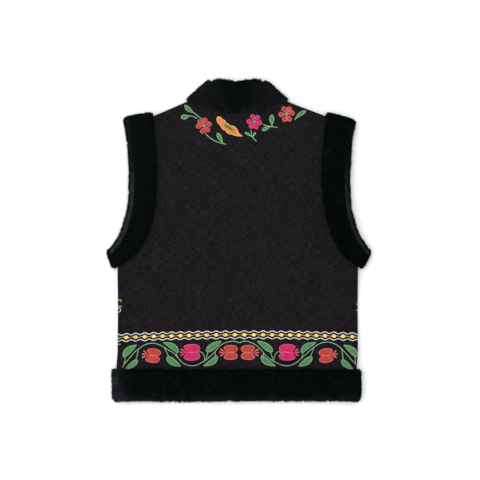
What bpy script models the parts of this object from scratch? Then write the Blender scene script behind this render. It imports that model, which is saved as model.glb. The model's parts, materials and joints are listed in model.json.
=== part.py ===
"""Embroidered folk vest with fur trim, laid flat with its back up.

X runs across the vest, +Y towards the collar and +Z up from the surface it lies on. Metres.
Across and up are the flat pattern's two directions: up is 0 at the back's cloth hem.
The fronts lie under the back, and one field, middle_height, gives the height of the plane
between the two layers. It is high where fur lies under the cloth, and low in between.
"""

import math

import bmesh
import bpy
import numpy as np

# Cloth
CLOTH = 0.002
HALF_GAP = 0.0005
SEAM_GAP = 0.0003
FOLD_RADIUS = HALF_GAP + CLOTH / 2
CLOTH_OUTSIDE = HALF_GAP + CLOTH
WRAP = 0.004
CENTRE_GAP = 0.001

# Body, as half widths and heights above the hem
SIDE = 0.2382
UNDERARM = 0.304
UP_MIDDLE = 0.3075
ACROSS_MIDDLE = 0.0023

# The hem: edge heights of the back and of the fronts, which hang a little lower
HEM_COLUMNS = ("across", "back", "front")
HEM_ROWS = (
    (-0.237, -0.0045, -0.0045),
    (-0.120, -0.001, -0.007),
    (0.000, -0.004, -0.004),
    (0.120, 0.000, -0.006),
    (0.237, -0.0045, -0.0045),
)
HEM_BAND = 0.051

# One armhole, from the shoulder fold to the fold under the arm: the cloth's edge and the trim's seam
# Columns: edge across, edge up, seam across, seam up
ARMHOLE_ROWS = (
    (0.2230, 0.5478, 0.1740, 0.5556),
    (0.2170, 0.5120, 0.1690, 0.5150),
    (0.2140, 0.4720, 0.1670, 0.4740),
    (0.2125, 0.4250, 0.1660, 0.4250),
    (0.2150, 0.3800, 0.1700, 0.3750),
    (0.2225, 0.3460, 0.1795, 0.3340),
    (0.2330, 0.3180, 0.1960, 0.2970),
    (0.2440, 0.3005, 0.2160, 0.2740),
    (0.2540, 0.2865, 0.2405, 0.2570),
)

# Shoulder fold, from the neck to the arm
SHOULDER = ((0.0955, 0.5855), (0.1710, 0.5550), (0.2230, 0.5470))

# Collar strip, from its fold beside the neck to the middle: seam and free edge, behind and in front
# Columns: seam across, seam up, free edge across, free edge up, how far it overlaps the cloth
COLLAR_BACK = (
    (0.0945, 0.5868, 0.0520, 0.6225, 0.0002),
    (0.0760, 0.5850, 0.0470, 0.6250, 0.0040),
    (0.0510, 0.5785, 0.0360, 0.6270, 0.0075),
    (0.0260, 0.5733, 0.0180, 0.6285, 0.0080),
    (0.0000, 0.5718, 0.0000, 0.6290, 0.0080),
)
COLLAR_FRONT = (
    (0.0945, 0.5868, 0.0520, 0.6225, 0.0002),
    (0.0880, 0.5600, 0.0430, 0.5900, 0.0040),
    (0.0700, 0.5300, 0.0330, 0.5660, 0.0070),
    (0.0420, 0.5080, 0.0190, 0.5530, 0.0080),
    (0.0140, 0.5000, 0.0080, 0.5495, 0.0080),
    (CENTRE_GAP, 0.4990, CENTRE_GAP, 0.5490, 0.0080),
)

# Fur
FUR_TOP = 0.0100
FUR_FOLD = 0.0090
FUR_ARM_FOLD = 0.0080
COLLAR_TOP = 0.0110
COLLAR_FOLD = 0.0088
LIP = 0.008
EDGE_GAP = 0.001
BAND_INSIDE = CLOTH_OUTSIDE + SEAM_GAP
BULGE_START, BULGE_END = 0.2435, 0.2500

# How high fur under the cloth lifts it, and how far from the fur it takes to sink to the surface
LIFT = 0.0073
HEM_LEVEL, HEM_SLOPE = 0.060, 0.140
ARM_LEVEL, ARM_SLOPE = 0.008, 0.085
NECK_CENTRE, NECK_REACH, NECK_SLOPE = 0.590, 0.100, 0.090
COLLAR_SAG, SAG_HALF_WIDTH, SAG_START, SAG_END = 0.0056, 0.055, 0.540, 0.595

# The vest isn't laid quite square: how far its sides lie to the right
# Columns: up, shift
LAY_ROWS = ((0.054, -0.003), (0.084, -0.0005), (0.250, -0.0005), (0.300, 0.003))
LAY_INNER, LAY_OUTER = 0.110, 0.180
COLLAR_SHIFT, COLLAR_SHIFT_START, COLLAR_SHIFT_END = -0.002, 0.565, 0.605
# The right shoulder's outer corner lies a little lower than the left one's
CORNER_DROP, CORNER_INNER, CORNER_OUTER = 0.005, 0.176, 0.236
CORNER_LOW, CORNER_HIGH = 0.440, 0.540

# Soft creases across the cloth: across, up, direction in degrees, half length, half width, height
CREASE_COLUMNS = ("across", "up", "direction", "half_length", "half_width", "height")
CREASES = (
    (-0.120, 0.255, 35.0, 0.085, 0.016, 0.0016),
    (0.128, 0.240, 148.0, 0.075, 0.015, 0.0014),
    (0.010, 0.215, 96.0, 0.100, 0.020, 0.0010),
)

# Embroidery
THREAD = 0.0008
CROWN = 0.0004
STEM = 0.0009
MOTIF_GAP = 0.0004
TIP = 0.00015
LEAF_STATIONS = 5
# A leaf's shape is three powers: for how far along it is widest, how blunt it is, where it bows most
NECK_LEAF_SHAPE = (1.50, 0.75, 1.0)
BORDER_LEAF_SHAPE = (0.70, 0.78, 0.75)
VEIN_SHAPE = (0.80, 0.90, 1.0)
PETAL_POINTS = 5
PETAL_VALLEY = 0.60

FLOWER_COLUMNS = ("name", "across", "up", "radius", "colour", "directions")
# Each flower's last column holds its petals' directions in degrees
FLOWERS = (
    ("yoke_flower_left", -0.0682, 0.5384, 0.0170, "red", (18, 80, 134, 186, 257, 314)),
    ("yoke_flower_middle", 0.0327, 0.5464, 0.0165, "magenta", (-10, 52, 109, 176, 234, 289)),
    ("yoke_flower_right", 0.0972, 0.5619, 0.0172, "red", (9, 61, 116, 184, 250, 299)),
)
# For each sprig, its stems as points, then its leaves as base, tip, width and bow
SPRIGS = {
    "yoke_leaf_left_upper": (
        (((-0.0888, 0.5647), (-0.0845, 0.5614), (-0.0791, 0.5566), (-0.0756, 0.5542), (-0.0710, 0.5527)),),
        (((-0.0870, 0.5633), (-0.1064, 0.5800), 0.0096, 0.0015),),
    ),
    "yoke_leaf_left_lower": (
        (((-0.0972, 0.5580), (-0.0930, 0.5579), (-0.0886, 0.5570), (-0.0851, 0.5549), (-0.0812, 0.5525)),),
        (((-0.0950, 0.5583), (-0.1148, 0.5546), 0.0102, 0.0000),),
    ),
    "yoke_stem_left": (
        (((-0.0648, 0.5215), (-0.0590, 0.5139), (-0.0500, 0.5070), (-0.0410, 0.5036), (-0.0330, 0.5012),
          (-0.0252, 0.4998)),),
        (((-0.0311, 0.5012), (-0.0430, 0.5232), 0.0090, 0.0012),),
    ),
    "yoke_sprig_side": (
        (((0.0493, 0.5416), (0.0553, 0.5392), (0.0656, 0.5368), (0.0732, 0.5358), (0.0794, 0.5348)),),
        (((0.0677, 0.5367), (0.0674, 0.5616), 0.0101, 0.0000),
         ((0.0660, 0.5364), (0.0474, 0.5286), 0.0082, -0.0008)),
    ),
    "yoke_sprig_below": (
        (((0.0259, 0.5305), (0.0262, 0.5255), (0.0281, 0.5170), (0.0314, 0.5127), (0.0374, 0.5067)),),
        (((0.0280, 0.5160), (0.0130, 0.5251), 0.0056, -0.0008),
         ((0.0293, 0.5153), (0.0358, 0.5260), 0.0053, 0.0004)),
    ),
    "yoke_leaf_right": (
        (),
        (((0.1126, 0.5499), (0.1361, 0.5692), 0.0080, 0.0017),),
    ),
}
ORANGE_LEAF = ((-0.0422, 0.5541), (0.0088, 0.5181))
ORANGE_BOW = -0.0046
# The leaf's upper and lower edge, lobe by lobe. Columns: where the lobe starts as a share of the
# length, the half width there, how far the lobe swells
ORANGE_EDGES = (
    ((0.0, 0.0, 0.0040), (0.145, 0.0042, 0.0028), (0.33, 0.0056, 0.0016), (0.49, 0.0066, 0.0052),
     (0.84, 0.0036, 0.0004), (1.0, 0.0, 0.0)),
    ((0.0, 0.0, 0.0044), (0.244, 0.0068, 0.0027), (0.47, 0.0080, 0.0024), (0.67, 0.0076, 0.0020),
     (1.0, 0.0, 0.0)),
)
ORANGE_STATIONS = 21
ORANGE_VEIN = ((-0.0272, 0.5413), (-0.0082, 0.5275))
VEIN_WIDTH = 0.0056

# The border above the hem lies a little to the right, more so at its ends
BORDER_MIDDLE, BORDER_STRETCH = 0.0026, 0.0030
# The chain's two lines rise a little to the right and dip towards both sides
BORDER_TILT, BORDER_DIP = 0.0010, 0.0051
# The vine, from its dip in the middle outwards. Columns: away from the middle, up on the left
# side, up on the right side
VINE_ROWS = (
    (0.0000, 0.1040, 0.1040),
    (0.0050, 0.1063, 0.1062),
    (0.0110, 0.1076, 0.1077),
    (0.0180, 0.1069, 0.1065),
    (0.0255, 0.1051, 0.1040),
    (0.0330, 0.1023, 0.0997),
    (0.0385, 0.0986, 0.0951),
    (0.0430, 0.0940, 0.0906),
    (0.0480, 0.0877, 0.0850),
    (0.0520, 0.0831, 0.0797),
    (0.0570, 0.0786, 0.0749),
    (0.0625, 0.0736, 0.0708),
    (0.0690, 0.0684, 0.0672),
    (0.0770, 0.0638, 0.0628),
    (0.0850, 0.0600, 0.0597),
    (0.0920, 0.0584, 0.0582),
    (0.1000, 0.0585, 0.0590),
    (0.1080, 0.0609, 0.0618),
    (0.1150, 0.0651, 0.0657),
    (0.1205, 0.0710, 0.0704),
    (0.1270, 0.0785, 0.0765),
    (0.1340, 0.0849, 0.0829),
    (0.1420, 0.0893, 0.0900),
    (0.1490, 0.0935, 0.0957),
    (0.1570, 0.0984, 0.1011),
    (0.1650, 0.1017, 0.1044),
    (0.1740, 0.1034, 0.1057),
    (0.1820, 0.1027, 0.1047),
    (0.1910, 0.0999, 0.1015),
    (0.1985, 0.0954, 0.0965),
    (0.2050, 0.0907, 0.0900),
    (0.2105, 0.0866, 0.0842),
    (0.2160, 0.0803, 0.0782),
    (0.2215, 0.0729, 0.0723),
    (0.2270, 0.0661, 0.0666),
    (0.2315, 0.0600, 0.0625),
)
VINE_STATIONS = 56
FINER = 8
STALK, STALK_STATIONS, STALK_INSIDE = 0.0007, 8, 0.12
BORDER_LEAF_COLUMNS = ("stalk", "base", "tip", "width", "bow")
BORDER_LEAVES = (
    ((0.2308, 0.0612), (0.2325, 0.0752), (0.2063, 0.1003), 0.0147, 0.0041),
    ((0.2024, 0.0917), (0.2064, 0.0716), (0.2300, 0.0526), 0.0118, 0.0022),
    ((0.1230, 0.0755), (0.1238, 0.0837), (0.1539, 0.1049), 0.0128, 0.0048),
    ((0.1500, 0.0945), (0.1445, 0.0775), (0.1171, 0.0572), 0.0145, 0.0027),
    ((0.0473, 0.0864), (0.0450, 0.0797), (0.0732, 0.0580), 0.0126, 0.0050),
    ((0.0690, 0.0690), (0.0658, 0.0852), (0.0353, 0.1081), 0.0145, 0.0020),
)
FRUIT_COLUMNS = ("name", "across", "up", "length", "height", "turn", "colour")
FRUITS = (
    ("border_fruit_outer", 0.1736, 0.0787, 0.0318, 0.0308, 8.0, "red"),
    ("border_fruit_middle", 0.0958, 0.0848, 0.0360, 0.0342, 0.0, "magenta"),
    ("border_fruit_inner", 0.0170, 0.0848, 0.0310, 0.0310, 0.0, "red"),
)
FRUIT_STALK = (
    (0.0841, 0.0842), (0.0800, 0.0866), (0.0752, 0.0853), (0.0715, 0.0805), (0.0693, 0.0740), (0.0694, 0.0685)
)
# Tassels fan out from a point near the fruit's outer end, at these angles in degrees
TASSELS = (-30.0, 0.0, 30.0)
TASSEL_ROOT, TASSEL_LENGTH = 0.30, 0.0118
TASSEL_INSIDE, TASSEL_HALF_WIDTHS = 0.0060, (0.0006, 0.0014)
# A fruit's lobes as shares of its height, and the slant that cuts them off, as shares of its length
LOBE_OFFSET, LOBE_HEIGHT, LOBE_STATIONS = 0.235, 0.54, 7
LOBE_REACH, CUT_START, CUT_SLOPE = 0.975, 0.24, 0.87
CHAIN_HEIGHT = 0.1201
CHAIN_PITCH = 0.0182
CHAIN_DOTS = 26
CHAIN_END = 0.2305
DOT_RADIUS = 0.0045
DOT_CORNER = 0.45
CHAIN_THREAD = 0.0005
# The dots lie to the right of an even row by a slow cosine along it
DOT_SHIFT, DOT_WANDER, WANDER_START, WANDER_LENGTH = 0.0032, 0.0018, 0.064, 0.255
WAVE_FROM_CHAIN, WAVE_SWING = 0.0068, 0.0016
WAVE_HALF_WIDTH = 0.0009

COLOURS = {
    "cloth": (0.014, 0.013, 0.015),
    "fur": (0.006, 0.007, 0.008),
    "red": (0.70, 0.055, 0.045),
    "magenta": (0.68, 0.010, 0.110),
    "green": (0.085, 0.300, 0.100),
    "orange": (0.90, 0.270, 0.040),
    "yellow": (0.85, 0.560, 0.120),
    "white": (0.80, 0.780, 0.740),
}
ROUGHNESS = {"cloth": 0.9, "fur": 0.8}
THREAD_ROUGHNESS = 0.5


def smooth(share):
    """A soft step: 0 up to share 0, 1 from share 1."""
    share = np.clip(share, 0.0, 1.0)
    return share * share * (3.0 - 2.0 * share)


def spline(points, count):
    """count points evenly spaced along a smooth Catmull-Rom curve through points."""
    points = np.array(points, float)
    ends = np.vstack([2 * points[0] - points[1], points, 2 * points[-1] - points[-2]])
    steps = np.linspace(0.0, 1.0, 24, endpoint=False)[:, None]
    runs = []
    for before, start, stop, after in zip(ends, ends[1:], ends[2:], ends[3:]):
        slope_in, slope_out = (stop - before) / 2, (after - start) / 2
        runs.append(
            start
            + slope_in * steps
            + (3 * (stop - start) - 2 * slope_in - slope_out) * steps**2
            + (2 * (start - stop) + slope_in + slope_out) * steps**3
        )
    return resampled(np.vstack([*runs, points[-1:]]), count)


def resampled(line, count):
    """The line again, as count points evenly spaced along its length."""
    line = np.array(line, float)
    along = np.concatenate([[0.0], np.cumsum(np.linalg.norm(np.diff(line[:, :2], axis=0), axis=1))])
    wanted = np.linspace(0.0, along[-1], count)
    return np.column_stack([np.interp(wanted, along, column) for column in line.T])


def hem_edge(across, layer):
    """Height of the cloth's hem at a place across, on the back or on the fronts."""
    rows = np.array(HEM_ROWS)
    return np.interp(across, rows[:, 0], rows[:, HEM_COLUMNS.index(layer)])


def armhole(count, side=1):
    """count rows (edge across, edge up, seam across, seam up) from shoulder to underarm."""
    rows = spline(ARMHOLE_ROWS, count)
    return rows * np.array([side, 1, side, 1])


def cloth_armhole(count, side=1):
    """The cloth's armhole edge, from the underarm at the side fold up to the shoulder."""
    edge = armhole(160)[:, :2]
    edge = edge[(edge[:, 0] < SIDE) | (edge[:, 1] > 0.4)]
    edge = np.vstack([edge, [SIDE, UNDERARM]])[::-1]
    return resampled(edge, count) * np.array([side, 1])


def seam_distance(across, up, side):
    """Distance of each point from one armhole trim's seam line."""
    seam = armhole(48, side)[:, 2:]
    gap = np.stack([across, up], -1)[..., None, :] - seam
    return np.sqrt((gap**2).sum(-1)).min(-1)


def in_arm_band(across, up, side):
    """Whether each point lies on the armhole side of that trim's seam line."""
    seam = armhole(48, side)[:, 2:]
    limit = np.interp(up, seam[::-1, 1], seam[::-1, 0] * side)
    return (across * side > limit) & (up > seam[-1, 1])


def crease_height(across, up):
    """Soft ridges in the sunken cloth, each a rounded ridge that fades out along its length."""
    total = np.zeros_like(across)
    for row in CREASES:
        crease = dict(zip(CREASE_COLUMNS, row))
        angle = math.radians(crease["direction"])
        from_across, from_up = across - crease["across"], up - crease["up"]
        along = from_across * math.cos(angle) + from_up * math.sin(angle)
        beside = from_up * math.cos(angle) - from_across * math.sin(angle)
        fade = 1.0 - smooth(np.abs(along) / crease["half_length"])
        ridge = 1.0 - smooth(np.abs(beside) / crease["half_width"])
        total += crease["height"] * fade * ridge
    return total


def middle_height(across, up):
    """Height of the plane between the back and the fronts: lifted by fur, sunken elsewhere."""
    across, up = np.asarray(across, float), np.asarray(up, float)
    sunken = smooth((up - HEM_LEVEL) / HEM_SLOPE)
    for side in (-1, 1):
        distance = np.where(in_arm_band(across, up, side), 0.0, seam_distance(across, up, side))
        sunken = sunken * smooth((distance - ARM_LEVEL) / ARM_SLOPE)
    from_neck = np.sqrt(across**2 + (up - NECK_CENTRE) ** 2)
    sunken = sunken * smooth((from_neck - NECK_REACH) / NECK_SLOPE)
    sag = COLLAR_SAG * (1 - smooth(np.abs(across) / SAG_HALF_WIDTH))
    sag = sag * smooth((up - SAG_START) / (SAG_END - SAG_START))
    return CLOTH_OUTSIDE + LIFT * (1 - sunken) - sag


def back_height(across, up):
    """Height of the inside face's middle plane for the top layer, with its creases."""
    return middle_height(across, up) + crease_height(np.asarray(across), np.asarray(up))


def laid(points):
    """Points (across, up, height) as they lie: sides and a corner shifted, origin in the middle."""
    points = np.array(points, float)
    rows = np.array(LAY_ROWS)
    share = smooth((np.abs(points[:, 0]) - LAY_INNER) / (LAY_OUTER - LAY_INNER))
    points[:, 0] += np.interp(points[:, 1], rows[:, 0], rows[:, 1]) * share
    at_collar = (points[:, 1] - COLLAR_SHIFT_START) / (COLLAR_SHIFT_END - COLLAR_SHIFT_START)
    points[:, 0] += COLLAR_SHIFT * smooth(at_collar)
    at_corner = smooth((points[:, 0] - CORNER_INNER) / (CORNER_OUTER - CORNER_INNER))
    at_corner = at_corner * smooth((points[:, 1] - CORNER_LOW) / (CORNER_HIGH - CORNER_LOW))
    points[:, 1] -= CORNER_DROP * at_corner
    points[:, 0] -= ACROSS_MIDDLE
    points[:, 1] -= UP_MIDDLE
    return points


def material(name):
    """The Principled material of one colour, made once."""
    found = bpy.data.materials.get(name)
    if found:
        return found
    made = bpy.data.materials.new(name)
    made.use_nodes = True
    shader = made.node_tree.nodes["Principled BSDF"]
    shader.inputs["Base Color"].default_value = (*COLOURS[name], 1.0)
    shader.inputs["Roughness"].default_value = ROUGHNESS.get(name, THREAD_ROUGHNESS)
    shader.inputs["Metallic"].default_value = 0.0
    return made


def add_object(name, points, faces, colour):
    """A mesh object whose faces all point outwards."""
    mesh = bpy.data.meshes.new(name)
    mesh.from_pydata([tuple(p) for p in points], [], faces)
    shell = bmesh.new()
    shell.from_mesh(mesh)
    bmesh.ops.recalc_face_normals(shell, faces=shell.faces)
    shell.to_mesh(mesh)
    shell.free()
    mesh.shade_smooth()
    mesh.set_sharp_from_angle(angle=math.radians(40))
    mesh.materials.append(material(colour))
    made = bpy.data.objects.new(name, mesh)
    VEST.objects.link(made)
    return made


def loft_faces(rings, per_ring, closed):
    """Quads between neighbouring rings of per_ring points, and a cap at each end if open."""
    faces = []
    for ring in range(rings if closed else rings - 1):
        here, there = ring * per_ring, (ring + 1) % rings * per_ring
        for k in range(per_ring):
            following = (k + 1) % per_ring
            faces.append((here + k, here + following, there + following, there + k))
    if not closed:
        faces.append(tuple(range(per_ring)))
        faces.append(tuple((rings - 1) * per_ring + k for k in range(per_ring)))
    return faces


def coons(bottom, top, left, right):
    """Points of a patch between four edge lines: (rows, columns, 2). Rows run bottom to top."""
    s = np.linspace(0, 1, len(bottom))[None, :, None]
    t = np.linspace(0, 1, len(left))[:, None, None]
    between = (1 - t) * bottom[None] + t * top[None] + (1 - s) * left[:, None] + s * right[:, None]
    corners = (1 - t) * ((1 - s) * bottom[0] + s * bottom[-1]) + t * ((1 - s) * top[0] + s * top[-1])
    return between - corners


def fold_wrap(line, outward, layer):
    """Rows of points that carry a panel from one layer round a fold and a little way on.

    Each row is the fold line moved round a small half circle about the plane between the
    layers, and then back over the other layer. layer is 1 for a panel on top, -1 under.
    """
    height = middle_height(line[:, 0], line[:, 1])
    rows = []
    for angle in np.radians((45, 90, 135, 180)):
        out = FOLD_RADIUS * math.sin(angle)
        rise = FOLD_RADIUS * math.cos(angle) * layer
        rows.append(np.column_stack([line + outward * out, height + rise]))
    back = line - outward * WRAP
    rows.append(np.column_stack([back, middle_height(*back.T) - FOLD_RADIUS * layer]))
    return rows


def add_panel(name, patch, layer, folds):
    """A cloth panel: its middle surface on one layer, with the strips that wrap its folds.

    folds holds, for each fold, the patch's row and column indices along it and the outward
    direction at each of them.
    """
    rows, columns = patch.shape[:2]
    flat = patch.reshape(-1, 2)
    height = back_height(*flat.T) if layer > 0 else middle_height(*flat.T)
    points = [*np.column_stack([flat, height + FOLD_RADIUS * layer])]
    faces = [
        (r * columns + c, r * columns + c + 1, (r + 1) * columns + c + 1, (r + 1) * columns + c)
        for r in range(rows - 1)
        for c in range(columns - 1)
    ]
    for indices, outward in folds:
        line = flat[indices]
        before = list(indices)
        for row in fold_wrap(line, outward, layer):
            here = list(range(len(points), len(points) + len(row)))
            points.extend(row)
            faces.extend(
                (before[k], before[k + 1], here[k + 1], here[k]) for k in range(len(here) - 1)
            )
            before = here
    panel = add_object(name, laid(points), faces, "cloth")
    thick = panel.modifiers.new("cloth", "SOLIDIFY")
    thick.thickness = CLOTH
    thick.offset = 0.0
    thick.use_quality_normals = True
    return panel


def outward_of(line, side):
    """The in-plane direction at right angles to a line, on its outer side."""
    along = np.gradient(line, axis=0)
    along /= np.linalg.norm(along, axis=1)[:, None]
    return np.column_stack([along[:, 1], -along[:, 0]]) * side


def shoulder(count, side=1):
    """The shoulder fold, from the neck to the arm, with a point at its bend."""
    to_bend = round(0.6 * (count - 1))
    places = np.concatenate([np.linspace(0, 1, to_bend + 1), np.linspace(1, 2, count - to_bend)[1:]])
    line = [np.interp(places, range(3), column) for column in np.array(SHOULDER).T]
    return np.column_stack(line) * np.array([side, 1])


def add_back():
    """The back: side seams just inside the side folds, shoulders wrapped over their folds."""
    rows, columns, neck_columns = 25, 23, 10
    side_x = SIDE - WRAP - SEAM_GAP
    bottom = np.column_stack([np.linspace(-side_x, side_x, columns)] * 2)
    bottom[:, 1] = hem_edge(bottom[:, 0], "back")
    lower_rows = 12
    edges = []
    for side in (-1, 1):
        seam = np.linspace(hem_edge(side * side_x, "back"), UNDERARM, lower_rows)
        seam = np.column_stack([np.full(lower_rows, side * side_x), seam])
        edges.append(np.vstack([seam[:-1], cloth_armhole(rows - lower_rows + 1, side)]))
        edges[-1][lower_rows - 1] = (side * side_x, UNDERARM)
    shoulder_columns = (columns - neck_columns + 1) // 2
    neck = spline([row[:2] for row in COLLAR_BACK], 40)
    neck = np.vstack([neck * (-1, 1), neck[-2::-1]])
    neck = resampled(neck, neck_columns + 1)
    left = shoulder(shoulder_columns, -1)[::-1]
    right = shoulder(shoulder_columns)
    top = np.vstack([left, neck[1:-1], right])
    top = top[: shoulder_columns * 2 + neck_columns - 1]
    bottom = resampled(bottom, len(top))
    patch = coons(bottom, top, *edges)
    columns = len(top)
    last = (rows - 1) * columns
    over_left = last + np.arange(shoulder_columns)
    over_right = last + np.arange(columns - shoulder_columns, columns)
    folds = [
        (over_left, outward_of(top[:shoulder_columns], -1)),
        (over_right, outward_of(top[-shoulder_columns:], -1)),
    ]
    return add_panel("back_panel", patch, 1, folds)


def add_front(name, side):
    """One front: neckline and shoulder seam on the underside, side wrapped round its fold."""
    rows, columns, lower_rows, neck_rows = 22, 11, 12, 7
    bottom = np.column_stack([np.linspace(CENTRE_GAP, SIDE, columns)] * 2)
    bottom[:, 1] = hem_edge(bottom[:, 0] * side, "front")
    neck = spline([row[:2] for row in COLLAR_FRONT], 40)[::-1]
    end = hem_edge(side * SIDE, "front")
    outer = np.column_stack([np.full(lower_rows, SIDE), np.linspace(end, UNDERARM, lower_rows)])
    outer = np.vstack([outer[:-1], cloth_armhole(rows - lower_rows + 1)])
    seam = shoulder(columns)
    seam = seam - outward_of(seam, -1) * (WRAP + SEAM_GAP)
    outer[-1] = seam[-1]
    neck = neck[neck[:, 1] < seam[0, 1] - 0.001]
    neck = resampled(np.vstack([neck, seam[:1]]), neck_rows)
    centre_rows = rows - neck_rows + 1
    centre = np.linspace(bottom[0, 1], neck[0, 1], centre_rows)
    centre = np.column_stack([np.full(centre_rows, CENTRE_GAP), centre])
    inner = np.vstack([centre[:-1], neck])
    patch = coons(bottom, seam, inner, outer) * np.array([side, 1])
    fold = np.arange(lower_rows) * columns + columns - 1
    outward = np.tile([float(side), 0.0], (lower_rows, 1))
    return add_panel(name, patch, -1, [(fold, outward)])


def band_section(width, crown, middle, inside):
    """A fur band over a cloth edge, as (distance in from the edge, height out from the middle).

    It runs over the crown from the seam to the edge, round the lip that hangs past the edge,
    and back along the cloth. inside gives the inner face's height at its edge, at the share
    middle of its width, and at its seam.
    """
    near, mid, far = inside
    rise = crown - BAND_INSIDE
    return np.array(
        [
            (width, far),
            (width + 0.0012, BAND_INSIDE + 0.35 * rise),
            (width - 0.0010, BAND_INSIDE + 0.75 * rise),
            (width - 0.0060, BAND_INSIDE + 0.97 * rise),
            (width * 0.55, BAND_INSIDE + rise),
            (0.0080, BAND_INSIDE + 0.98 * rise),
            (-0.0010, BAND_INSIDE + 0.86 * rise),
            (-0.0060, BAND_INSIDE + 0.52 * rise),
            (-LIP, BAND_INSIDE + 0.10 * rise),
            (-0.0062, HALF_GAP),
            (-EDGE_GAP, HALF_GAP),
            (-EDGE_GAP, near),
            (width * middle, mid),
        ]
    )


def collar_section(width, crown, overlap):
    """The collar strip: a slab from the neck seam to its free edge, overlapping the cloth."""
    start = EDGE_GAP * 2
    return np.array(
        [
            (start, HALF_GAP),
            (width * 0.5, HALF_GAP),
            (width - 0.0030, HALF_GAP),
            (width + 0.0010, HALF_GAP + 0.30 * crown),
            (width - 0.0012, 0.78 * crown),
            (width - 0.0070, 0.97 * crown),
            (width * 0.5, crown),
            (0.0050, 0.97 * crown),
            (start - 0.55 * overlap, 0.78 * crown),
            (start - overlap, BAND_INSIDE + 0.12 * crown),
            (start - 0.85 * overlap, BAND_INSIDE),
            (start, BAND_INSIDE),
        ]
    )


def ring_points(seam_side, other_side, section, normal, lift):
    """A section set at one station: across the strip from seam_side, and out along normal.

    A point that would go under the surface the vest lies on is flattened onto it.
    """
    along = other_side - seam_side
    along = along / np.linalg.norm(along)
    flat = seam_side + np.outer(section[:, 0], along)
    height = middle_height(*flat.T) + lift * crease_height(*flat.T)
    points = np.column_stack([flat, height]) + np.outer(section[:, 1], normal)
    points[:, 2] = np.maximum(points[:, 2], 0.0)
    return points


def closed_inside(across):
    """Inner height of an armhole trim: over the cloth, or closed up where it stands past it."""
    share = smooth((np.abs(across) - BULGE_START) / (BULGE_END - BULGE_START))
    return BAND_INSIDE + (HALF_GAP - BAND_INSIDE) * share


def band_ring(row, normal, crown):
    """One station of a band: row holds the cloth edge and the seam."""
    edge, seam = row[:2], row[2:]
    width = np.linalg.norm(seam - edge)
    past = max(abs(edge[0]) - BULGE_START, 0.0) / max(abs(edge[0] - seam[0]), EDGE_GAP)
    middle = min(max(past, 0.08), 0.9)
    shares = np.array([0.0, middle, 1.0])
    inside = closed_inside(edge[0] + (seam[0] - edge[0]) * shares)
    lift = 1.0 if normal[2] > 0.9 else 0.0
    section = band_section(width, crown, middle, inside)
    return ring_points(edge, seam, section, normal, lift)


def fold_normals(outward, start, steps):
    """Unit normals that turn half round a fold, from one layer's to the other's."""
    turns = np.radians(np.linspace(0, 180, steps + 2)[1:-1])
    return [
        np.array([*(outward * math.sin(turn)), start * math.cos(turn)])
        for turn in turns
    ]


def add_armhole_trim(name, side):
    """A ring of fur: down the back's armhole, under the arm, up the front's, over the shoulder."""
    rows = armhole(15, side)
    up, down = np.array([0, 0, 1.0]), np.array([0, 0, -1.0])
    top_crown = BAND_INSIDE + FUR_TOP
    fold_crown = BAND_INSIDE + FUR_ARM_FOLD
    low_crown = LIFT + CLOTH_OUTSIDE
    directions = []
    for row in (rows[0], rows[-1]):
        across = (row[2:] - row[:2]) / np.linalg.norm(row[2:] - row[:2])
        directions.append(np.array([across[1], -across[0]]) * side)
    shoulder_out, underarm_out = directions[0], -directions[1]
    rings = [band_ring(row, up, top_crown) for row in rows]
    rings += [band_ring(rows[-1], n, fold_crown) for n in fold_normals(underarm_out, 1, 5)]
    rings += [band_ring(row, down, low_crown) for row in rows[::-1]]
    rings += [band_ring(rows[0], n, fold_crown) for n in fold_normals(shoulder_out, -1, 5)]
    points = np.vstack(rings)
    return add_object(name, laid(points), loft_faces(len(rings), len(rings[0]), True), "fur")


def add_hem_trim():
    """The fur hem: from the centre front round both side folds and across the back."""
    crowns = {"back": BAND_INSIDE + FUR_TOP, "front": LIFT + CLOTH_OUTSIDE}

    def station(across, layer, normal, crown):
        edge = hem_edge(across, layer)
        row = np.array([across, edge, across, HEM_BAND])
        return band_ring(row, normal, crown)

    up, down = np.array([0, 0, 1.0]), np.array([0, 0, -1.0])
    front = np.linspace(CENTRE_GAP, SIDE, 11)
    fold_crown = BAND_INSIDE + FUR_FOLD
    rings = [station(-x, "front", down, crowns["front"]) for x in front]
    for normal in fold_normals(np.array([-1.0, 0]), -1, 5):
        rings.append(station(-SIDE, "back", normal, fold_crown))
    rings += [station(x, "back", up, crowns["back"]) for x in np.linspace(-SIDE, SIDE, 25)]
    for normal in fold_normals(np.array([1.0, 0]), 1, 5):
        rings.append(station(SIDE, "back", normal, fold_crown))
    rings += [station(x, "front", down, crowns["front"]) for x in front[::-1]]
    return add_object(
        "hem_fur", laid(np.vstack(rings)), loft_faces(len(rings), len(rings[0]), False), "fur"
    )


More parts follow.
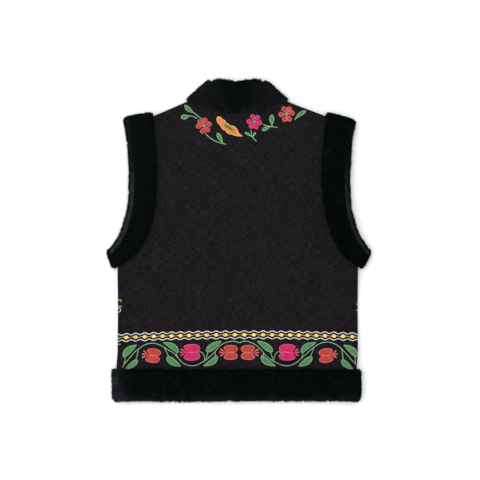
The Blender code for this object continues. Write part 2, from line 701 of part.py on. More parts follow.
def add_collar():
    """The fur collar: one strip from centre front, folded beside the neck and across the back."""
    up, down = np.array([0, 0, 1.0]), np.array([0, 0, -1.0])
    low_crown = LIFT + CLOTH_OUTSIDE
    behind, before = spline(COLLAR_BACK, 11), spline(COLLAR_FRONT, 10)
    mirror = np.array([-1, 1, -1, 1, 1])

    def station(row, normal, crown):
        seam, free, overlap = row[:2], row[2:4], row[4]
        section = collar_section(np.linalg.norm(free - seam), crown, max(overlap, TIP))
        if overlap < 0.001:
            section[:, 0] = np.maximum(section[:, 0], 2.5 * EDGE_GAP)
        return ring_points(seam, free, section, normal, 1.0 if normal[2] > 0.9 else 0.0)

    def fold_rings(row, side, start):
        along = (row[2:4] - row[:2]) / np.linalg.norm(row[2:4] - row[:2])
        outward = np.array([along[1], -along[0]]) * side
        return [station(row, n, COLLAR_FOLD) for n in fold_normals(outward, start, 5)]

    rings = [station(row * mirror, down, low_crown) for row in before[::-1]]
    rings += fold_rings(behind[0] * mirror, -1, -1)
    rings += [station(row * mirror, up, COLLAR_TOP) for row in behind]
    rings += [station(row, up, COLLAR_TOP) for row in behind[-2::-1]]
    rings += fold_rings(behind[0], 1, 1)
    rings += [station(row, down, low_crown) for row in before]
    return add_object(
        "collar_fur", laid(np.vstack(rings)), loft_faces(len(rings), len(rings[0]), False), "fur"
    )


def stitched(centre, half_width, crown=CROWN, other_half=None):
    """A raised patch of thread, flat underneath: a centre line with a half width at each point.

    other_half is the half width on the line's right side, where it differs from the left's.
    A wide patch is crowned along its centre line; a stem, with no crown, is flat on top.
    """
    centre = np.array(centre, float)
    along = np.gradient(centre, axis=0)
    along /= np.linalg.norm(along, axis=1)[:, None]
    beside = np.column_stack([-along[:, 1], along[:, 0]])
    half = np.broadcast_to(half_width, len(centre))[:, None]
    right_half = half if other_half is None else other_half[:, None]
    left, right = centre + beside * half, centre - beside * right_half
    floor, top = np.zeros((len(centre), 1)), np.full((len(centre), 1), THREAD)
    corners = [np.hstack([left, floor]), np.hstack([right, floor]), np.hstack([right, top])]
    if crown:
        corners.append(np.hstack([centre, top + crown]))
        corners.insert(1, np.hstack([centre, floor]))
    corners.append(np.hstack([left, top]))
    ring = len(corners)
    return np.stack(corners, 1).reshape(-1, 3), loft_faces(len(centre), ring, False)


def leaf(base, tip, width, bow, shape=NECK_LEAF_SHAPE):
    """A leaf, pointed at its tip. The shape holds three powers.

    The half width is the sine of pi times s to the first, and all of it to the second. The bow of
    the centre line is the sine of pi times s to the third.
    """
    base, tip = np.array(base), np.array(tip)
    share = np.linspace(0, 1, LEAF_STATIONS)
    skew, bluntness, bow_skew = shape
    along = tip - base
    beside = np.array([-along[1], along[0]]) / np.linalg.norm(along)
    sway = np.sin(np.pi * share**bow_skew) * bow
    centre = base + np.outer(share, along) + np.outer(sway, beside)
    half = width / 2 * np.sin(np.pi * share**skew) ** bluntness
    return stitched(centre, np.maximum(half, TIP))


def lobe(length, height, offset):
    """One lobe about the fruit's middle: an oval, cut off by a slant where the tassels fan out."""
    spread = -np.cos(np.pi * np.linspace(0, 1, LOBE_STATIONS))
    spread = np.where(spread > 0, spread * LOBE_REACH, spread)
    along = spread * length / 2
    half = height / 2 * np.sqrt(1 - spread**2)
    cut = (along - length * CUT_START) / CUT_SLOPE
    top = abs(offset) + half
    low = np.maximum(abs(offset) - half, cut)
    side = np.sign(offset)
    return np.column_stack([along, (top + low) / 2 * side]), np.maximum((top - low) / 2, TIP * 4)


def nearest(line, point):
    """The point of a line that lies nearest to another point."""
    return line[np.argmin(np.linalg.norm(line - point, axis=1))]


def add_motif(name, shapes, colour, above=0.0):
    """One embroidered piece: its patches joined into one body and set on the back's surface."""
    joined = add_object(name, *shapes[0], colour)
    if len(shapes) > 1:
        others = bpy.data.collections.new(name + "_patches")
        bpy.context.scene.collection.children.link(others)
        for points, faces in shapes[1:]:
            patch = add_object(name + "_patch", points, faces, colour)
            VEST.objects.unlink(patch)
            others.objects.link(patch)
        union = joined.modifiers.new("patches", "BOOLEAN")
        union.operation = "UNION"
        union.operand_type = "COLLECTION"
        union.collection = others
        graph = bpy.context.evaluated_depsgraph_get()
        graph.update()
        mesh = bpy.data.meshes.new_from_object(joined.evaluated_get(graph))
        joined.modifiers.clear()
        joined.data = mesh
        for patch in list(others.objects):
            bpy.data.objects.remove(patch)
        bpy.data.collections.remove(others)
    points = np.array([vertex.co for vertex in joined.data.vertices])
    surface = back_height(points[:, 0], points[:, 1]) + CLOTH_OUTSIDE + MOTIF_GAP + above
    points[:, 2] += surface
    for vertex, place in zip(joined.data.vertices, laid(points)):
        vertex.co = place
    return joined


def rosette(middle, radius, directions):
    """A flower of pointed petals round a raised eye, flat underneath, as rings about its middle.

    The outline swings between the petals' tips, which lie in the directions given, and the
    valleys halfway between them. Petals are crowned.
    """
    petals = len(directions)
    count = petals * PETAL_POINTS
    steps = np.arange(count) / PETAL_POINTS
    turns = np.radians([*directions, directions[0] + 360])
    angles = np.interp(steps, np.arange(petals + 1), turns)
    petal = np.abs(np.cos(np.pi * steps))
    edge = radius * (PETAL_VALLEY + (1 - PETAL_VALLEY) * petal**0.8)
    way = np.column_stack([np.cos(angles), np.sin(angles)])
    shallow, full = THREAD * 0.75, THREAD + CROWN
    rings = [
        (edge, 0.0),
        (edge, THREAD),
        (edge * 0.66, THREAD + CROWN * petal),
        (radius * 0.34, shallow),
        (radius * 0.27, full),
    ]
    points = [(*middle, 0.0)]
    for reach, height in rings:
        across = middle + way * np.broadcast_to(reach, count)[:, None]
        points.extend(np.column_stack([across, np.broadcast_to(height, count)]))
    points.append((*middle, full))
    faces = []
    for k in range(count):
        following = (k + 1) % count
        faces.append((0, 1 + following, 1 + k))
        for ring in range(len(rings) - 1):
            here, there = 1 + ring * count, 1 + (ring + 1) * count
            faces.append((here + k, here + following, there + following, there + k))
        last = 1 + (len(rings) - 1) * count
        faces.append((last + k, last + following, len(points) - 1))
    return np.array(points, float), faces


def lobed_edge(rows, share):
    """Half width of the orange leaf on one side: straight between lobes, plus each lobe's swell."""
    starts, halves, swells = np.array(rows).T
    lobe = np.interp(share, starts, np.arange(len(starts)))
    swell = swells[np.minimum(lobe.astype(int), len(starts) - 1)]
    return np.interp(share, starts, halves) + swell * np.abs(np.sin(np.pi * lobe)) ** 0.6


def add_yoke():
    """Everything embroidered round the neck."""
    for row in FLOWERS:
        flower = dict(zip(FLOWER_COLUMNS, row))
        middle = np.array([flower["across"], flower["up"]])
        shape = rosette(middle, flower["radius"], flower["directions"])
        add_motif(flower["name"], [shape], flower["colour"])
    for name, (stems, leaves) in SPRIGS.items():
        shapes = [leaf(*row) for row in leaves]
        shapes += [stitched(spline(stem, 6), STEM, 0) for stem in stems]
        add_motif(name, shapes, "green")
    start, stop = np.array(ORANGE_LEAF)
    share = np.linspace(0, 1, ORANGE_STATIONS)
    along = stop - start
    beside = np.array([-along[1], along[0]]) / np.linalg.norm(along)
    centre = start + np.outer(share, along) + np.outer(np.sin(np.pi * share) * ORANGE_BOW, beside)
    upper, lower = [np.maximum(lobed_edge(rows, share), TIP) for rows in ORANGE_EDGES]
    add_motif("yoke_leaf_orange", [stitched(centre, upper, 0, lower)], "orange")
    vein = leaf(*ORANGE_VEIN, VEIN_WIDTH, 0.0, VEIN_SHAPE)
    add_motif("yoke_leaf_vein", [vein], "green", THREAD + MOTIF_GAP)


def bordered(points, side):
    """Border points, given for the right half, on one side of the border's middle."""
    points = np.array(points, float)
    shift = BORDER_MIDDLE + BORDER_STRETCH * (points[..., 0] / SIDE) ** 2
    points[..., 0] = points[..., 0] * side + shift
    return points


def chain_height(across):
    """Height of the chain's centre line, which tilts a little and dips towards both sides."""
    return CHAIN_HEIGHT + BORDER_TILT * across / SIDE - BORDER_DIP * (across / SIDE) ** 2


def add_vine():
    """The vine with its leaves on short stalks, all one body."""
    rows = np.array(VINE_ROWS)
    left = rows[:0:-1, :2] * (-1, 1)
    line = bordered(spline(np.vstack([left, rows[:, [0, 2]]]), VINE_STATIONS * FINER), 1)
    shapes = [stitched(resampled(line, VINE_STATIONS), STEM, 0)]
    for side in (-1, 1):
        for row in BORDER_LEAVES:
            piece = dict(zip(BORDER_LEAF_COLUMNS, row))
            stalk, base, tip = bordered((piece["stalk"], piece["base"], piece["tip"]), side)
            turned = side if piece["tip"][1] > piece["base"][1] else -side
            away = piece["bow"] * turned * (1 if piece["tip"][0] > piece["base"][0] else -1)
            shapes.append(leaf(base, tip, piece["width"], away, BORDER_LEAF_SHAPE))
            end = base + (tip - base) * STALK_INSIDE
            shapes.append(stitched([nearest(line, stalk), end], STALK, 0))
        stalk = bordered(FRUIT_STALK, side)
        stalk = np.vstack([stalk, nearest(line, stalk[-1])])
        shapes.append(stitched(spline(stalk, STALK_STATIONS), STALK, 0))
    add_motif("border_vine", shapes, "green")


def add_fruit(row, side, name):
    """A fruit of two lobes, notched at its inner end, with short tassels at its outer end."""
    fruit = dict(zip(FRUIT_COLUMNS, row))
    middle = bordered((fruit["across"], fruit["up"]), side)
    length, height = fruit["length"], fruit["height"]
    lean = math.radians(fruit["turn"])
    out = np.array([side * math.cos(lean), math.sin(lean)])
    over = np.array([-side * math.sin(lean), math.cos(lean)])
    frame = np.array([out, over])
    shapes = []
    for offset in (LOBE_OFFSET, -LOBE_OFFSET):
        line, half = lobe(length, height * LOBE_HEIGHT, offset * height)
        shapes.append(stitched(middle + line @ frame, half))
    for angle in TASSELS:
        turn = math.radians(angle)
        way = out * math.cos(turn) + over * math.sin(turn)
        line = middle + out * TASSEL_ROOT * length + np.outer((-TASSEL_INSIDE, TASSEL_LENGTH), way)
        shapes.append(stitched(line, TASSEL_HALF_WIDTHS, 0))
    return add_motif(name, shapes, fruit["colour"])


def dot_shift(across):
    """How far the chain's dots lie to the right of an even row."""
    return DOT_SHIFT + DOT_WANDER * np.cos(2 * np.pi * (across - WANDER_START) / WANDER_LENGTH)


def add_chain():
    """Dots strung on a thread, between two wavy lines that swell round each dot."""
    places = (np.arange(CHAIN_DOTS) - (CHAIN_DOTS - 1) / 2) * CHAIN_PITCH
    places = places + dot_shift(places)
    places = places[np.abs(places) < CHAIN_END - DOT_RADIUS]
    corners = np.array([-1.0, -DOT_CORNER, DOT_CORNER, 1.0]) * DOT_RADIUS
    across = np.concatenate([[-CHAIN_END], (places[:, None] + corners).ravel(), [CHAIN_END]])
    swell = np.tile([CHAIN_THREAD, DOT_RADIUS * 0.9, DOT_RADIUS * 0.9, CHAIN_THREAD], len(places))
    half = np.concatenate([[CHAIN_THREAD], swell, [CHAIN_THREAD]])
    line = np.column_stack([across, chain_height(across)])
    add_motif("border_chain", [stitched(line, half, 0)], "yellow")
    steps = np.arange(-CHAIN_DOTS, CHAIN_DOTS + 1) * CHAIN_PITCH / 2
    steps = steps + dot_shift(steps)
    steps = np.array([-CHAIN_END, *steps[np.abs(steps) < CHAIN_END - 0.003], CHAIN_END])
    swell = -np.cos(2 * np.pi * (steps - dot_shift(steps)) / CHAIN_PITCH)
    for name, side in (("border_wave_upper", 1), ("border_wave_lower", -1)):
        line = chain_height(steps) + side * (WAVE_FROM_CHAIN + WAVE_SWING * swell)
        add_motif(name, [stitched(np.column_stack([steps, line]), WAVE_HALF_WIDTH, 0)], "white")


def main():
    """Builds every piece of the vest."""
    add_back()
    add_front("front_panel_left", -1)
    add_front("front_panel_right", 1)
    add_collar()
    add_armhole_trim("armhole_fur_left", -1)
    add_armhole_trim("armhole_fur_right", 1)
    add_hem_trim()
    add_yoke()
    add_vine()
    for row in FRUITS:
        for side, suffix in ((-1, "_left"), (1, "_right")):
            add_fruit(row, side, row[0] + suffix)
    add_chain()


for old in list(bpy.data.objects):
    bpy.data.objects.remove(old)
VEST = bpy.data.collections.new("folk_vest")
bpy.context.scene.collection.children.link(VEST)
main()
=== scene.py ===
"""The look of the embroidered folk vest: cloth shells, stitched thread, fur, light and camera.

Every piece is worked out in the flat pattern, across and up, where up is 0 at the back's cloth
hem. The field middle_height gives the plane between the back and the fronts under it, and laid
moves a pattern point to where it lies in the frame. Metres.
"""

import json
import math

import bpy
import numpy as np
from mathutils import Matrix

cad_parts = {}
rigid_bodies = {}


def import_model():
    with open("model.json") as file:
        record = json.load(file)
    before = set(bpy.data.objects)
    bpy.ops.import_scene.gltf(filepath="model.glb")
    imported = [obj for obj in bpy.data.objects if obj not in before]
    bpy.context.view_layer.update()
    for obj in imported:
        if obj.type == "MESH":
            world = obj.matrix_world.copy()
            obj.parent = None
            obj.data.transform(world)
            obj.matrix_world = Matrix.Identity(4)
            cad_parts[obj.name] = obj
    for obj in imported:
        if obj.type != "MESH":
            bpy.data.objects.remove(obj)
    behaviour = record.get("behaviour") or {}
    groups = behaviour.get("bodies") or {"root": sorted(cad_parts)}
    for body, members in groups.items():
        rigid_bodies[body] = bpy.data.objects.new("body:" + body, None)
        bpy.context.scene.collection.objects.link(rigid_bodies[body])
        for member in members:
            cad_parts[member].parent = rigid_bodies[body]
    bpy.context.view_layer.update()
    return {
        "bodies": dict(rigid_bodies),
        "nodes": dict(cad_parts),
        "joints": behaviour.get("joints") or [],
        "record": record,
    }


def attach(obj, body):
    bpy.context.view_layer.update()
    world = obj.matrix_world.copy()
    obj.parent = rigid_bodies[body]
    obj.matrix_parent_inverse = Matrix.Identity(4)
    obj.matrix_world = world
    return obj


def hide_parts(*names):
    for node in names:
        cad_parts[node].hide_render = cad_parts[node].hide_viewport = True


# Cloth layers, as part.py has them
CLOTH = 0.002
HALF_GAP = 0.0005
SEAM_GAP = 0.0003
CLOTH_OUTSIDE = HALF_GAP + CLOTH
SHELL = 0.0012
SHELL_MIDDLE = CLOTH_OUTSIDE - SHELL / 2
WRAP = 0.004
CENTRE_GAP = 0.001
SIDE = 0.2382
UNDERARM = 0.304
UP_MIDDLE = 0.3075
ACROSS_MIDDLE = 0.0023

# The hem's height on the back and on the fronts
HEM_ACROSS = (-0.237, -0.120, 0.000, 0.120, 0.237)
HEM_BACK = (-0.0045, -0.001, -0.004, 0.000, -0.0045)
HEM_FRONT = (-0.0045, -0.007, -0.004, -0.006, -0.0045)
HEM_BAND = 0.051

# Columns: edge across, edge up, seam across, seam up, from the shoulder to under the arm
ARMHOLE_ROWS = (
    (0.2230, 0.5478, 0.1740, 0.5556),
    (0.2170, 0.5120, 0.1690, 0.5150),
    (0.2140, 0.4720, 0.1670, 0.4740),
    (0.2125, 0.4250, 0.1660, 0.4250),
    (0.2150, 0.3800, 0.1700, 0.3750),
    (0.2225, 0.3460, 0.1795, 0.3340),
    (0.2330, 0.3180, 0.1960, 0.2970),
    (0.2440, 0.3005, 0.2160, 0.2740),
    (0.2540, 0.2865, 0.2405, 0.2570),
)
SHOULDER = ((0.0955, 0.5855), (0.1710, 0.5550), (0.2230, 0.5470))

# Columns: seam across, seam up, free edge across, free edge up, how far it overlaps the cloth
COLLAR_BACK = (
    (0.0945, 0.5868, 0.0520, 0.6225, 0.0002),
    (0.0760, 0.5850, 0.0470, 0.6250, 0.0040),
    (0.0510, 0.5785, 0.0360, 0.6270, 0.0075),
    (0.0260, 0.5733, 0.0180, 0.6285, 0.0080),
    (0.0000, 0.5718, 0.0000, 0.6290, 0.0080),
)
COLLAR_FRONT = (
    (0.0945, 0.5868, 0.0520, 0.6225, 0.0002),
    (0.0880, 0.5600, 0.0430, 0.5900, 0.0040),
    (0.0700, 0.5300, 0.0330, 0.5660, 0.0070),
    (0.0420, 0.5080, 0.0190, 0.5530, 0.0080),
    (0.0140, 0.5000, 0.0080, 0.5495, 0.0080),
    (CENTRE_GAP, 0.4990, CENTRE_GAP, 0.5490, 0.0080),
)

# How much farther than the solid the collar's pile reaches: at its ends, at its top, at its seam
COLLAR_END = (0.0050, -0.0042)
# Columns: distance across from the middle, and how far the pile's upper edge stands above the solid's
COLLAR_RISE = (
    (0.000, -0.0018), (0.020, 0.0016), (0.040, 0.0048), (0.048, 0.0040), (0.056, 0.0004), (0.068, -0.0038),
    (0.090, -0.0040),
)
COLLAR_LOWER = 0.0020

# Fur: how high each stretch stands over the plane between the layers
FUR_TOP = 0.0100
FUR_FOLD = 0.0090
FUR_ARM_FOLD = 0.0080
COLLAR_TOP = 0.0110
COLLAR_FOLD = 0.0088
LIP = 0.008
EDGE_GAP = 0.001
BAND_INSIDE = CLOTH_OUTSIDE + SEAM_GAP
BULGE_START, BULGE_END = 0.2435, 0.2500

# The lie of the layers, as part.py has it
LIFT = 0.0073
HEM_LEVEL, HEM_SLOPE = 0.060, 0.140
ARM_LEVEL, ARM_SLOPE = 0.008, 0.085
NECK_CENTRE, NECK_REACH, NECK_SLOPE = 0.590, 0.100, 0.090
COLLAR_SAG, SAG_HALF_WIDTH, SAG_START, SAG_END = 0.0056, 0.055, 0.540, 0.595
LAY_ROWS = ((0.054, -0.003), (0.084, -0.0005), (0.250, -0.0005), (0.300, 0.003))
LAY_INNER, LAY_OUTER = 0.110, 0.180
COLLAR_SHIFT, COLLAR_SHIFT_START, COLLAR_SHIFT_END = -0.002, 0.565, 0.605
CORNER_DROP, CORNER_INNER, CORNER_OUTER = 0.005, 0.176, 0.236
CORNER_LOW, CORNER_HIGH = 0.440, 0.540

# Columns: across, up, direction in degrees, half length, half width, height
CREASES = (
    (-0.120, 0.255, 35.0, 0.085, 0.016, 0.0016),
    (0.128, 0.240, 148.0, 0.075, 0.015, 0.0014),
    (0.010, 0.215, 96.0, 0.100, 0.020, 0.0010),
)
FINE_CREASES = (
    (-0.055, 0.330, 78.0, 0.060, 0.007, 0.0004),
    (0.070, 0.365, 104.0, 0.070, 0.008, 0.0004),
    (-0.165, 0.330, 118.0, 0.045, 0.006, 0.0005),
    (0.168, 0.320, 62.0, 0.045, 0.006, 0.0005),
    (-0.030, 0.480, 20.0, 0.060, 0.008, 0.0003),
    (0.150, 0.155, 12.0, 0.060, 0.007, 0.0003),
    (-0.150, 0.150, 170.0, 0.065, 0.007, 0.0003),
)

# Embroidery round the neck. Flowers: name, across, up, radius, colour, each petal's direction
FLOWERS = (
    ("yoke_flower_left", -0.0682, 0.5384, 0.0170, "red", (18, 80, 134, 186, 257, 314)),
    ("yoke_flower_middle", 0.0327, 0.5464, 0.0165, "magenta", (-10, 52, 109, 176, 234, 289)),
    ("yoke_flower_right", 0.0972, 0.5619, 0.0172, "red", (9, 61, 116, 184, 250, 299)),
)
# For each sprig, its stems as points, then its leaves as base, tip, width and bow
SPRIGS = {
    "yoke_leaf_left_upper": (
        (((-0.0888, 0.5647), (-0.0845, 0.5614), (-0.0791, 0.5566), (-0.0756, 0.5542), (-0.0710, 0.5527)),),
        (((-0.0870, 0.5633), (-0.1064, 0.5800), 0.0096, 0.0015),),
    ),
    "yoke_leaf_left_lower": (
        (((-0.0972, 0.5580), (-0.0930, 0.5579), (-0.0886, 0.5570), (-0.0851, 0.5549), (-0.0812, 0.5525)),),
        (((-0.0950, 0.5583), (-0.1148, 0.5546), 0.0102, 0.0000),),
    ),
    "yoke_stem_left": (
        (((-0.0658, 0.5236), (-0.0592, 0.5168), (-0.0500, 0.5102), (-0.0424, 0.5065), (-0.0348, 0.5038),
          (-0.0240, 0.5015)),),
        (((-0.0294, 0.5027), (-0.0411, 0.5251), 0.0094, 0.0008),),
    ),
    "yoke_sprig_side": (
        (((0.0493, 0.5416), (0.0553, 0.5392), (0.0656, 0.5368), (0.0732, 0.5358), (0.0794, 0.5348)),),
        (((0.0677, 0.5367), (0.0674, 0.5616), 0.0101, 0.0000),
         ((0.0660, 0.5364), (0.0474, 0.5286), 0.0082, -0.0008)),
    ),
    "yoke_sprig_below": (
        (((0.0259, 0.5305), (0.0262, 0.5255), (0.0281, 0.5170), (0.0314, 0.5127), (0.0374, 0.5067)),),
        (((0.0280, 0.5160), (0.0130, 0.5251), 0.0056, -0.0008),
         ((0.0293, 0.5153), (0.0358, 0.5260), 0.0053, 0.0004)),
    ),
    "yoke_leaf_right": (
        (),
        (((0.1126, 0.5499), (0.1361, 0.5692), 0.0080, 0.0017),),
    ),
}
ORANGE_LEAF = ((-0.0420, 0.5562), (0.0094, 0.5176))
ORANGE_BOW = -0.0050
# The leaf's upper and lower edge, lobe by lobe. Columns: where the lobe starts as a share of the
# length, the half width there, how far the lobe swells
ORANGE_EDGES = (
    ((0.0, 0.0, 0.0042), (0.145, 0.0038, 0.0032), (0.33, 0.0052, 0.0020), (0.49, 0.0062, 0.0056),
     (0.84, 0.0030, 0.0002), (1.0, 0.0, 0.0)),
    ((0.0, 0.0, 0.0040), (0.244, 0.0055, 0.0027), (0.47, 0.0067, 0.0025), (0.67, 0.0063, 0.0018),
     (1.0, 0.0, 0.0)),
)
ORANGE_VEIN = ((-0.0278, 0.5421), (-0.0066, 0.5261))
VEIN_WIDTH = 0.0072

# The border above the hem
BORDER_MIDDLE, BORDER_STRETCH = 0.0026, 0.0030
BORDER_TILT, BORDER_DIP = 0.0010, 0.0051
# The vine, from its dip in the middle outwards. Columns: away from the middle, up on the left
# side, up on the right side
VINE_ROWS = (
    (0.0000, 0.1040, 0.1040),
    (0.0050, 0.1063, 0.1062),
    (0.0110, 0.1076, 0.1077),
    (0.0180, 0.1069, 0.1065),
    (0.0255, 0.1051, 0.1040),
    (0.0330, 0.1023, 0.0997),
    (0.0385, 0.0986, 0.0951),
    (0.0430, 0.0940, 0.0906),
    (0.0480, 0.0877, 0.0850),
    (0.0520, 0.0831, 0.0797),
    (0.0570, 0.0786, 0.0749),
    (0.0625, 0.0736, 0.0708),
    (0.0690, 0.0684, 0.0672),
    (0.0770, 0.0638, 0.0628),
    (0.0850, 0.0600, 0.0597),
    (0.0920, 0.0584, 0.0582),
    (0.1000, 0.0585, 0.0590),
    (0.1080, 0.0609, 0.0618),
    (0.1150, 0.0651, 0.0657),
    (0.1205, 0.0710, 0.0704),
    (0.1270, 0.0785, 0.0765),
    (0.1340, 0.0849, 0.0829),
    (0.1420, 0.0893, 0.0900),
    (0.1490, 0.0935, 0.0957),
    (0.1570, 0.0984, 0.1011),
    (0.1650, 0.1017, 0.1044),
    (0.1740, 0.1034, 0.1057),
    (0.1820, 0.1027, 0.1047),
    (0.1910, 0.0999, 0.1015),
    (0.1985, 0.0954, 0.0965),
    (0.2050, 0.0907, 0.0900),
    (0.2105, 0.0866, 0.0842),
    (0.2160, 0.0803, 0.0782),
    (0.2215, 0.0729, 0.0723),
    (0.2270, 0.0661, 0.0666),
    (0.2315, 0.0600, 0.0625),
    (0.2335, 0.0548, 0.0590),
)
# Columns: stalk, base, tip, width, bow
BORDER_LEAVES = (
    ((0.2308, 0.0612), (0.2325, 0.0752), (0.2063, 0.1003), 0.0138, 0.0041),
    ((0.2024, 0.0917), (0.2050, 0.0713), (0.2285, 0.0514), 0.0117, 0.0025),
    ((0.1230, 0.0755), (0.1238, 0.0837), (0.1539, 0.1049), 0.0120, 0.0048),
    ((0.1500, 0.0945), (0.1445, 0.0775), (0.1171, 0.0572), 0.0137, 0.0027),
    ((0.0473, 0.0864), (0.0450, 0.0797), (0.0732, 0.0580), 0.0120, 0.0050),
    ((0.0690, 0.0690), (0.0658, 0.0852), (0.0353, 0.1081), 0.0137, 0.0020),
)
# Columns: name, across, up, length, height, turn in degrees, colour
FRUITS = (
    ("border_fruit_outer", 0.1732, 0.0787, 0.0296, 0.0288, 8.0, "red"),
    ("border_fruit_middle", 0.0958, 0.0853, 0.0344, 0.0328, 0.0, "magenta"),
    ("border_fruit_inner", 0.0176, 0.0850, 0.0294, 0.0296, 0.0, "red"),
)
FRUIT_STALK = (
    (0.0841, 0.0842), (0.0800, 0.0866), (0.0752, 0.0853), (0.0715, 0.0805), (0.0693, 0.0740), (0.0694, 0.0685)
)
TASSELS = (-30.0, 0.0, 30.0)
TASSEL_ROOT, TASSEL_LENGTH = 0.30, 0.0138
TASSEL_SPREAD = 0.0012
CUT_SLOPE = 0.87
CHAIN_HEIGHT = 0.1201
CHAIN_PITCH = 0.0182
CHAIN_DOTS = 26
DOT_RADIUS = 0.0040
DOT_SHIFT, DOT_WANDER, WANDER_START, WANDER_LENGTH = 0.0032, 0.0018, 0.064, 0.255
WAVE_FROM_CHAIN, WAVE_SWING = 0.0064, 0.0018
FOLD_REACH = SIDE + 0.0022

# Thread
FILL_PITCH = 0.00062
FILL_LENGTH = 0.0075
OUTLINE_WIDTH = 0.0015
VINE_WIDTH = 0.0022
STALK_WIDTH = 0.0020
PETAL_WIDTH, PETAL_HALF_ANGLE, PETAL_GAP = 0.36, 27.5, 0.0002
SUNK = 0.0002

SEED = 11
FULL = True
# Rows, columns and columns at the neck. Then rows, columns, rows under the arm, rows at the neck
BACK_GRID = (151, 141, 46) if FULL else (76, 71, 22)
FRONT_GRID = (111, 61, 61, 31) if FULL else (56, 31, 31, 16)


def smooth(share):
    """A soft step: 0 up to share 0, 1 from share 1, and 3s squared less 2s cubed between."""
    share = np.clip(share, 0.0, 1.0)
    return share * share * (3.0 - 2.0 * share)


def unit(vectors):
    """Each vector over its own length."""
    return vectors / np.maximum(np.linalg.norm(vectors, axis=-1, keepdims=True), 1e-12)


def resampled(line, count):
    """The line again, as count points evenly spaced along the length of its first two columns."""
    line = np.array(line, float)
    steps = np.linalg.norm(np.diff(line[:, :2], axis=0), axis=1)
    along = np.concatenate([[0.0], np.cumsum(steps)])
    wanted = np.linspace(0.0, along[-1], count)
    return np.column_stack([np.interp(wanted, along, column) for column in line.T])


def spline(points, count):
    """count points evenly spaced along a Catmull-Rom curve: cubic runs through the points."""
    points = np.array(points, float)
    if len(points) == 2:
        return resampled(points, count)
    ends = np.vstack([2 * points[0] - points[1], points, 2 * points[-1] - points[-2]])
    steps = np.linspace(0.0, 1.0, 24, endpoint=False)[:, None]
    runs = []
    for before, start, stop, after in zip(ends, ends[1:], ends[2:], ends[3:]):
        slope_in, slope_out = (stop - before) / 2, (after - start) / 2
        square = 3 * (stop - start) - 2 * slope_in - slope_out
        cube = 2 * (start - stop) + slope_in + slope_out
        runs.append(start + slope_in * steps + square * steps**2 + cube * steps**3)
    return resampled(np.vstack([*runs, points[-1:]]), count)


def lattice_noise(places, size, seed):
    """Smooth noise from -1 to 1: random values on a cubic lattice, blended by soft steps."""
    table = np.random.default_rng(seed).uniform(-1, 1, (32, 32, 32))
    scaled = np.asarray(places) / size
    cell = np.floor(scaled).astype(int)
    share = smooth(scaled - cell)
    total = np.zeros(len(scaled))
    for corner in range(8):
        offset = np.array([corner & 1, corner >> 1 & 1, corner >> 2 & 1])
        index = (cell + offset) % 32
        weight = np.where(offset, share, 1 - share).prod(1)
        total += weight * table[index[:, 0], index[:, 1], index[:, 2]]
    return total


def hem_edge(across, layer):
    """Height of the cloth's hem at a place across, on the back or on the fronts."""
    return np.interp(across, HEM_ACROSS, HEM_BACK if layer == "back" else HEM_FRONT)


def armhole(count, side=1):
    """count rows (edge across, edge up, seam across, seam up) from shoulder to underarm."""
    return spline(ARMHOLE_ROWS, count) * np.array([side, 1, side, 1])


def cloth_armhole(count, side=1):
    """The cloth's armhole edge, from the underarm at the side fold up to the shoulder."""
    edge = armhole(160)[:, :2]
    edge = edge[(edge[:, 0] < SIDE) | (edge[:, 1] > 0.4)]
    edge = np.vstack([edge, [SIDE, UNDERARM]])[::-1]
    return resampled(edge, count) * np.array([side, 1])


def seam_distance(across, up, side):
    """Distance of each point from one armhole trim's seam line, 0 on the armhole's side."""
    seam = armhole(48, side)[:, 2:]
    least = np.full(across.shape, 9.0)
    for point in seam:
        least = np.minimum(least, np.hypot(across - point[0], up - point[1]))
    limit = np.interp(up, seam[::-1, 1], seam[::-1, 0] * side)
    inside = (across * side > limit) & (up > seam[-1, 1])
    return np.where(inside, 0.0, least)


def crease_height(across, up, rows=CREASES):
    """Soft ridges: each falls off from its line by a soft step and fades out along it."""
    total = np.zeros_like(across)
    for middle_across, middle_up, direction, half_length, half_width, height in rows:
        angle = math.radians(direction)
        from_across, from_up = across - middle_across, up - middle_up
        along = from_across * math.cos(angle) + from_up * math.sin(angle)
        beside = from_up * math.cos(angle) - from_across * math.sin(angle)
        fade = 1.0 - smooth(np.abs(along) / half_length)
        total += height * fade * (1.0 - smooth(np.abs(beside) / half_width))
    return total


def middle_height(across, up):
    """Height of the plane between back and fronts: lifted by fur, sunken in soft steps elsewhere."""
    across, up = np.asarray(across, float), np.asarray(up, float)
    sunken = smooth((up - HEM_LEVEL) / HEM_SLOPE)
    for side in (-1, 1):
        sunken = sunken * smooth((seam_distance(across, up, side) - ARM_LEVEL) / ARM_SLOPE)
    from_neck = np.hypot(across, up - NECK_CENTRE)
    sunken = sunken * smooth((from_neck - NECK_REACH) / NECK_SLOPE)
    sag = COLLAR_SAG * (1 - smooth(np.abs(across) / SAG_HALF_WIDTH))
    sag = sag * smooth((up - SAG_START) / (SAG_END - SAG_START))
    return CLOTH_OUTSIDE + LIFT * (1 - sunken) - sag


def cloth_relief(across, up):
    """The fine relief of the upper cloth: small creases, and a slow ripple of lattice noise."""
    flat = np.column_stack([across.ravel(), up.ravel(), np.zeros(across.size)])
    ripple = lattice_noise(flat, 0.045, SEED) * 0.00016 + lattice_noise(flat, 0.016, SEED + 1) * 0.00005
    return crease_height(across, up, FINE_CREASES) + ripple.reshape(across.shape)


def back_height(across, up):
    """Height of the upper layer's inner plane, with its creases and fine relief."""
    across, up = np.asarray(across, float), np.asarray(up, float)
    return middle_height(across, up) + crease_height(across, up) + cloth_relief(across, up)


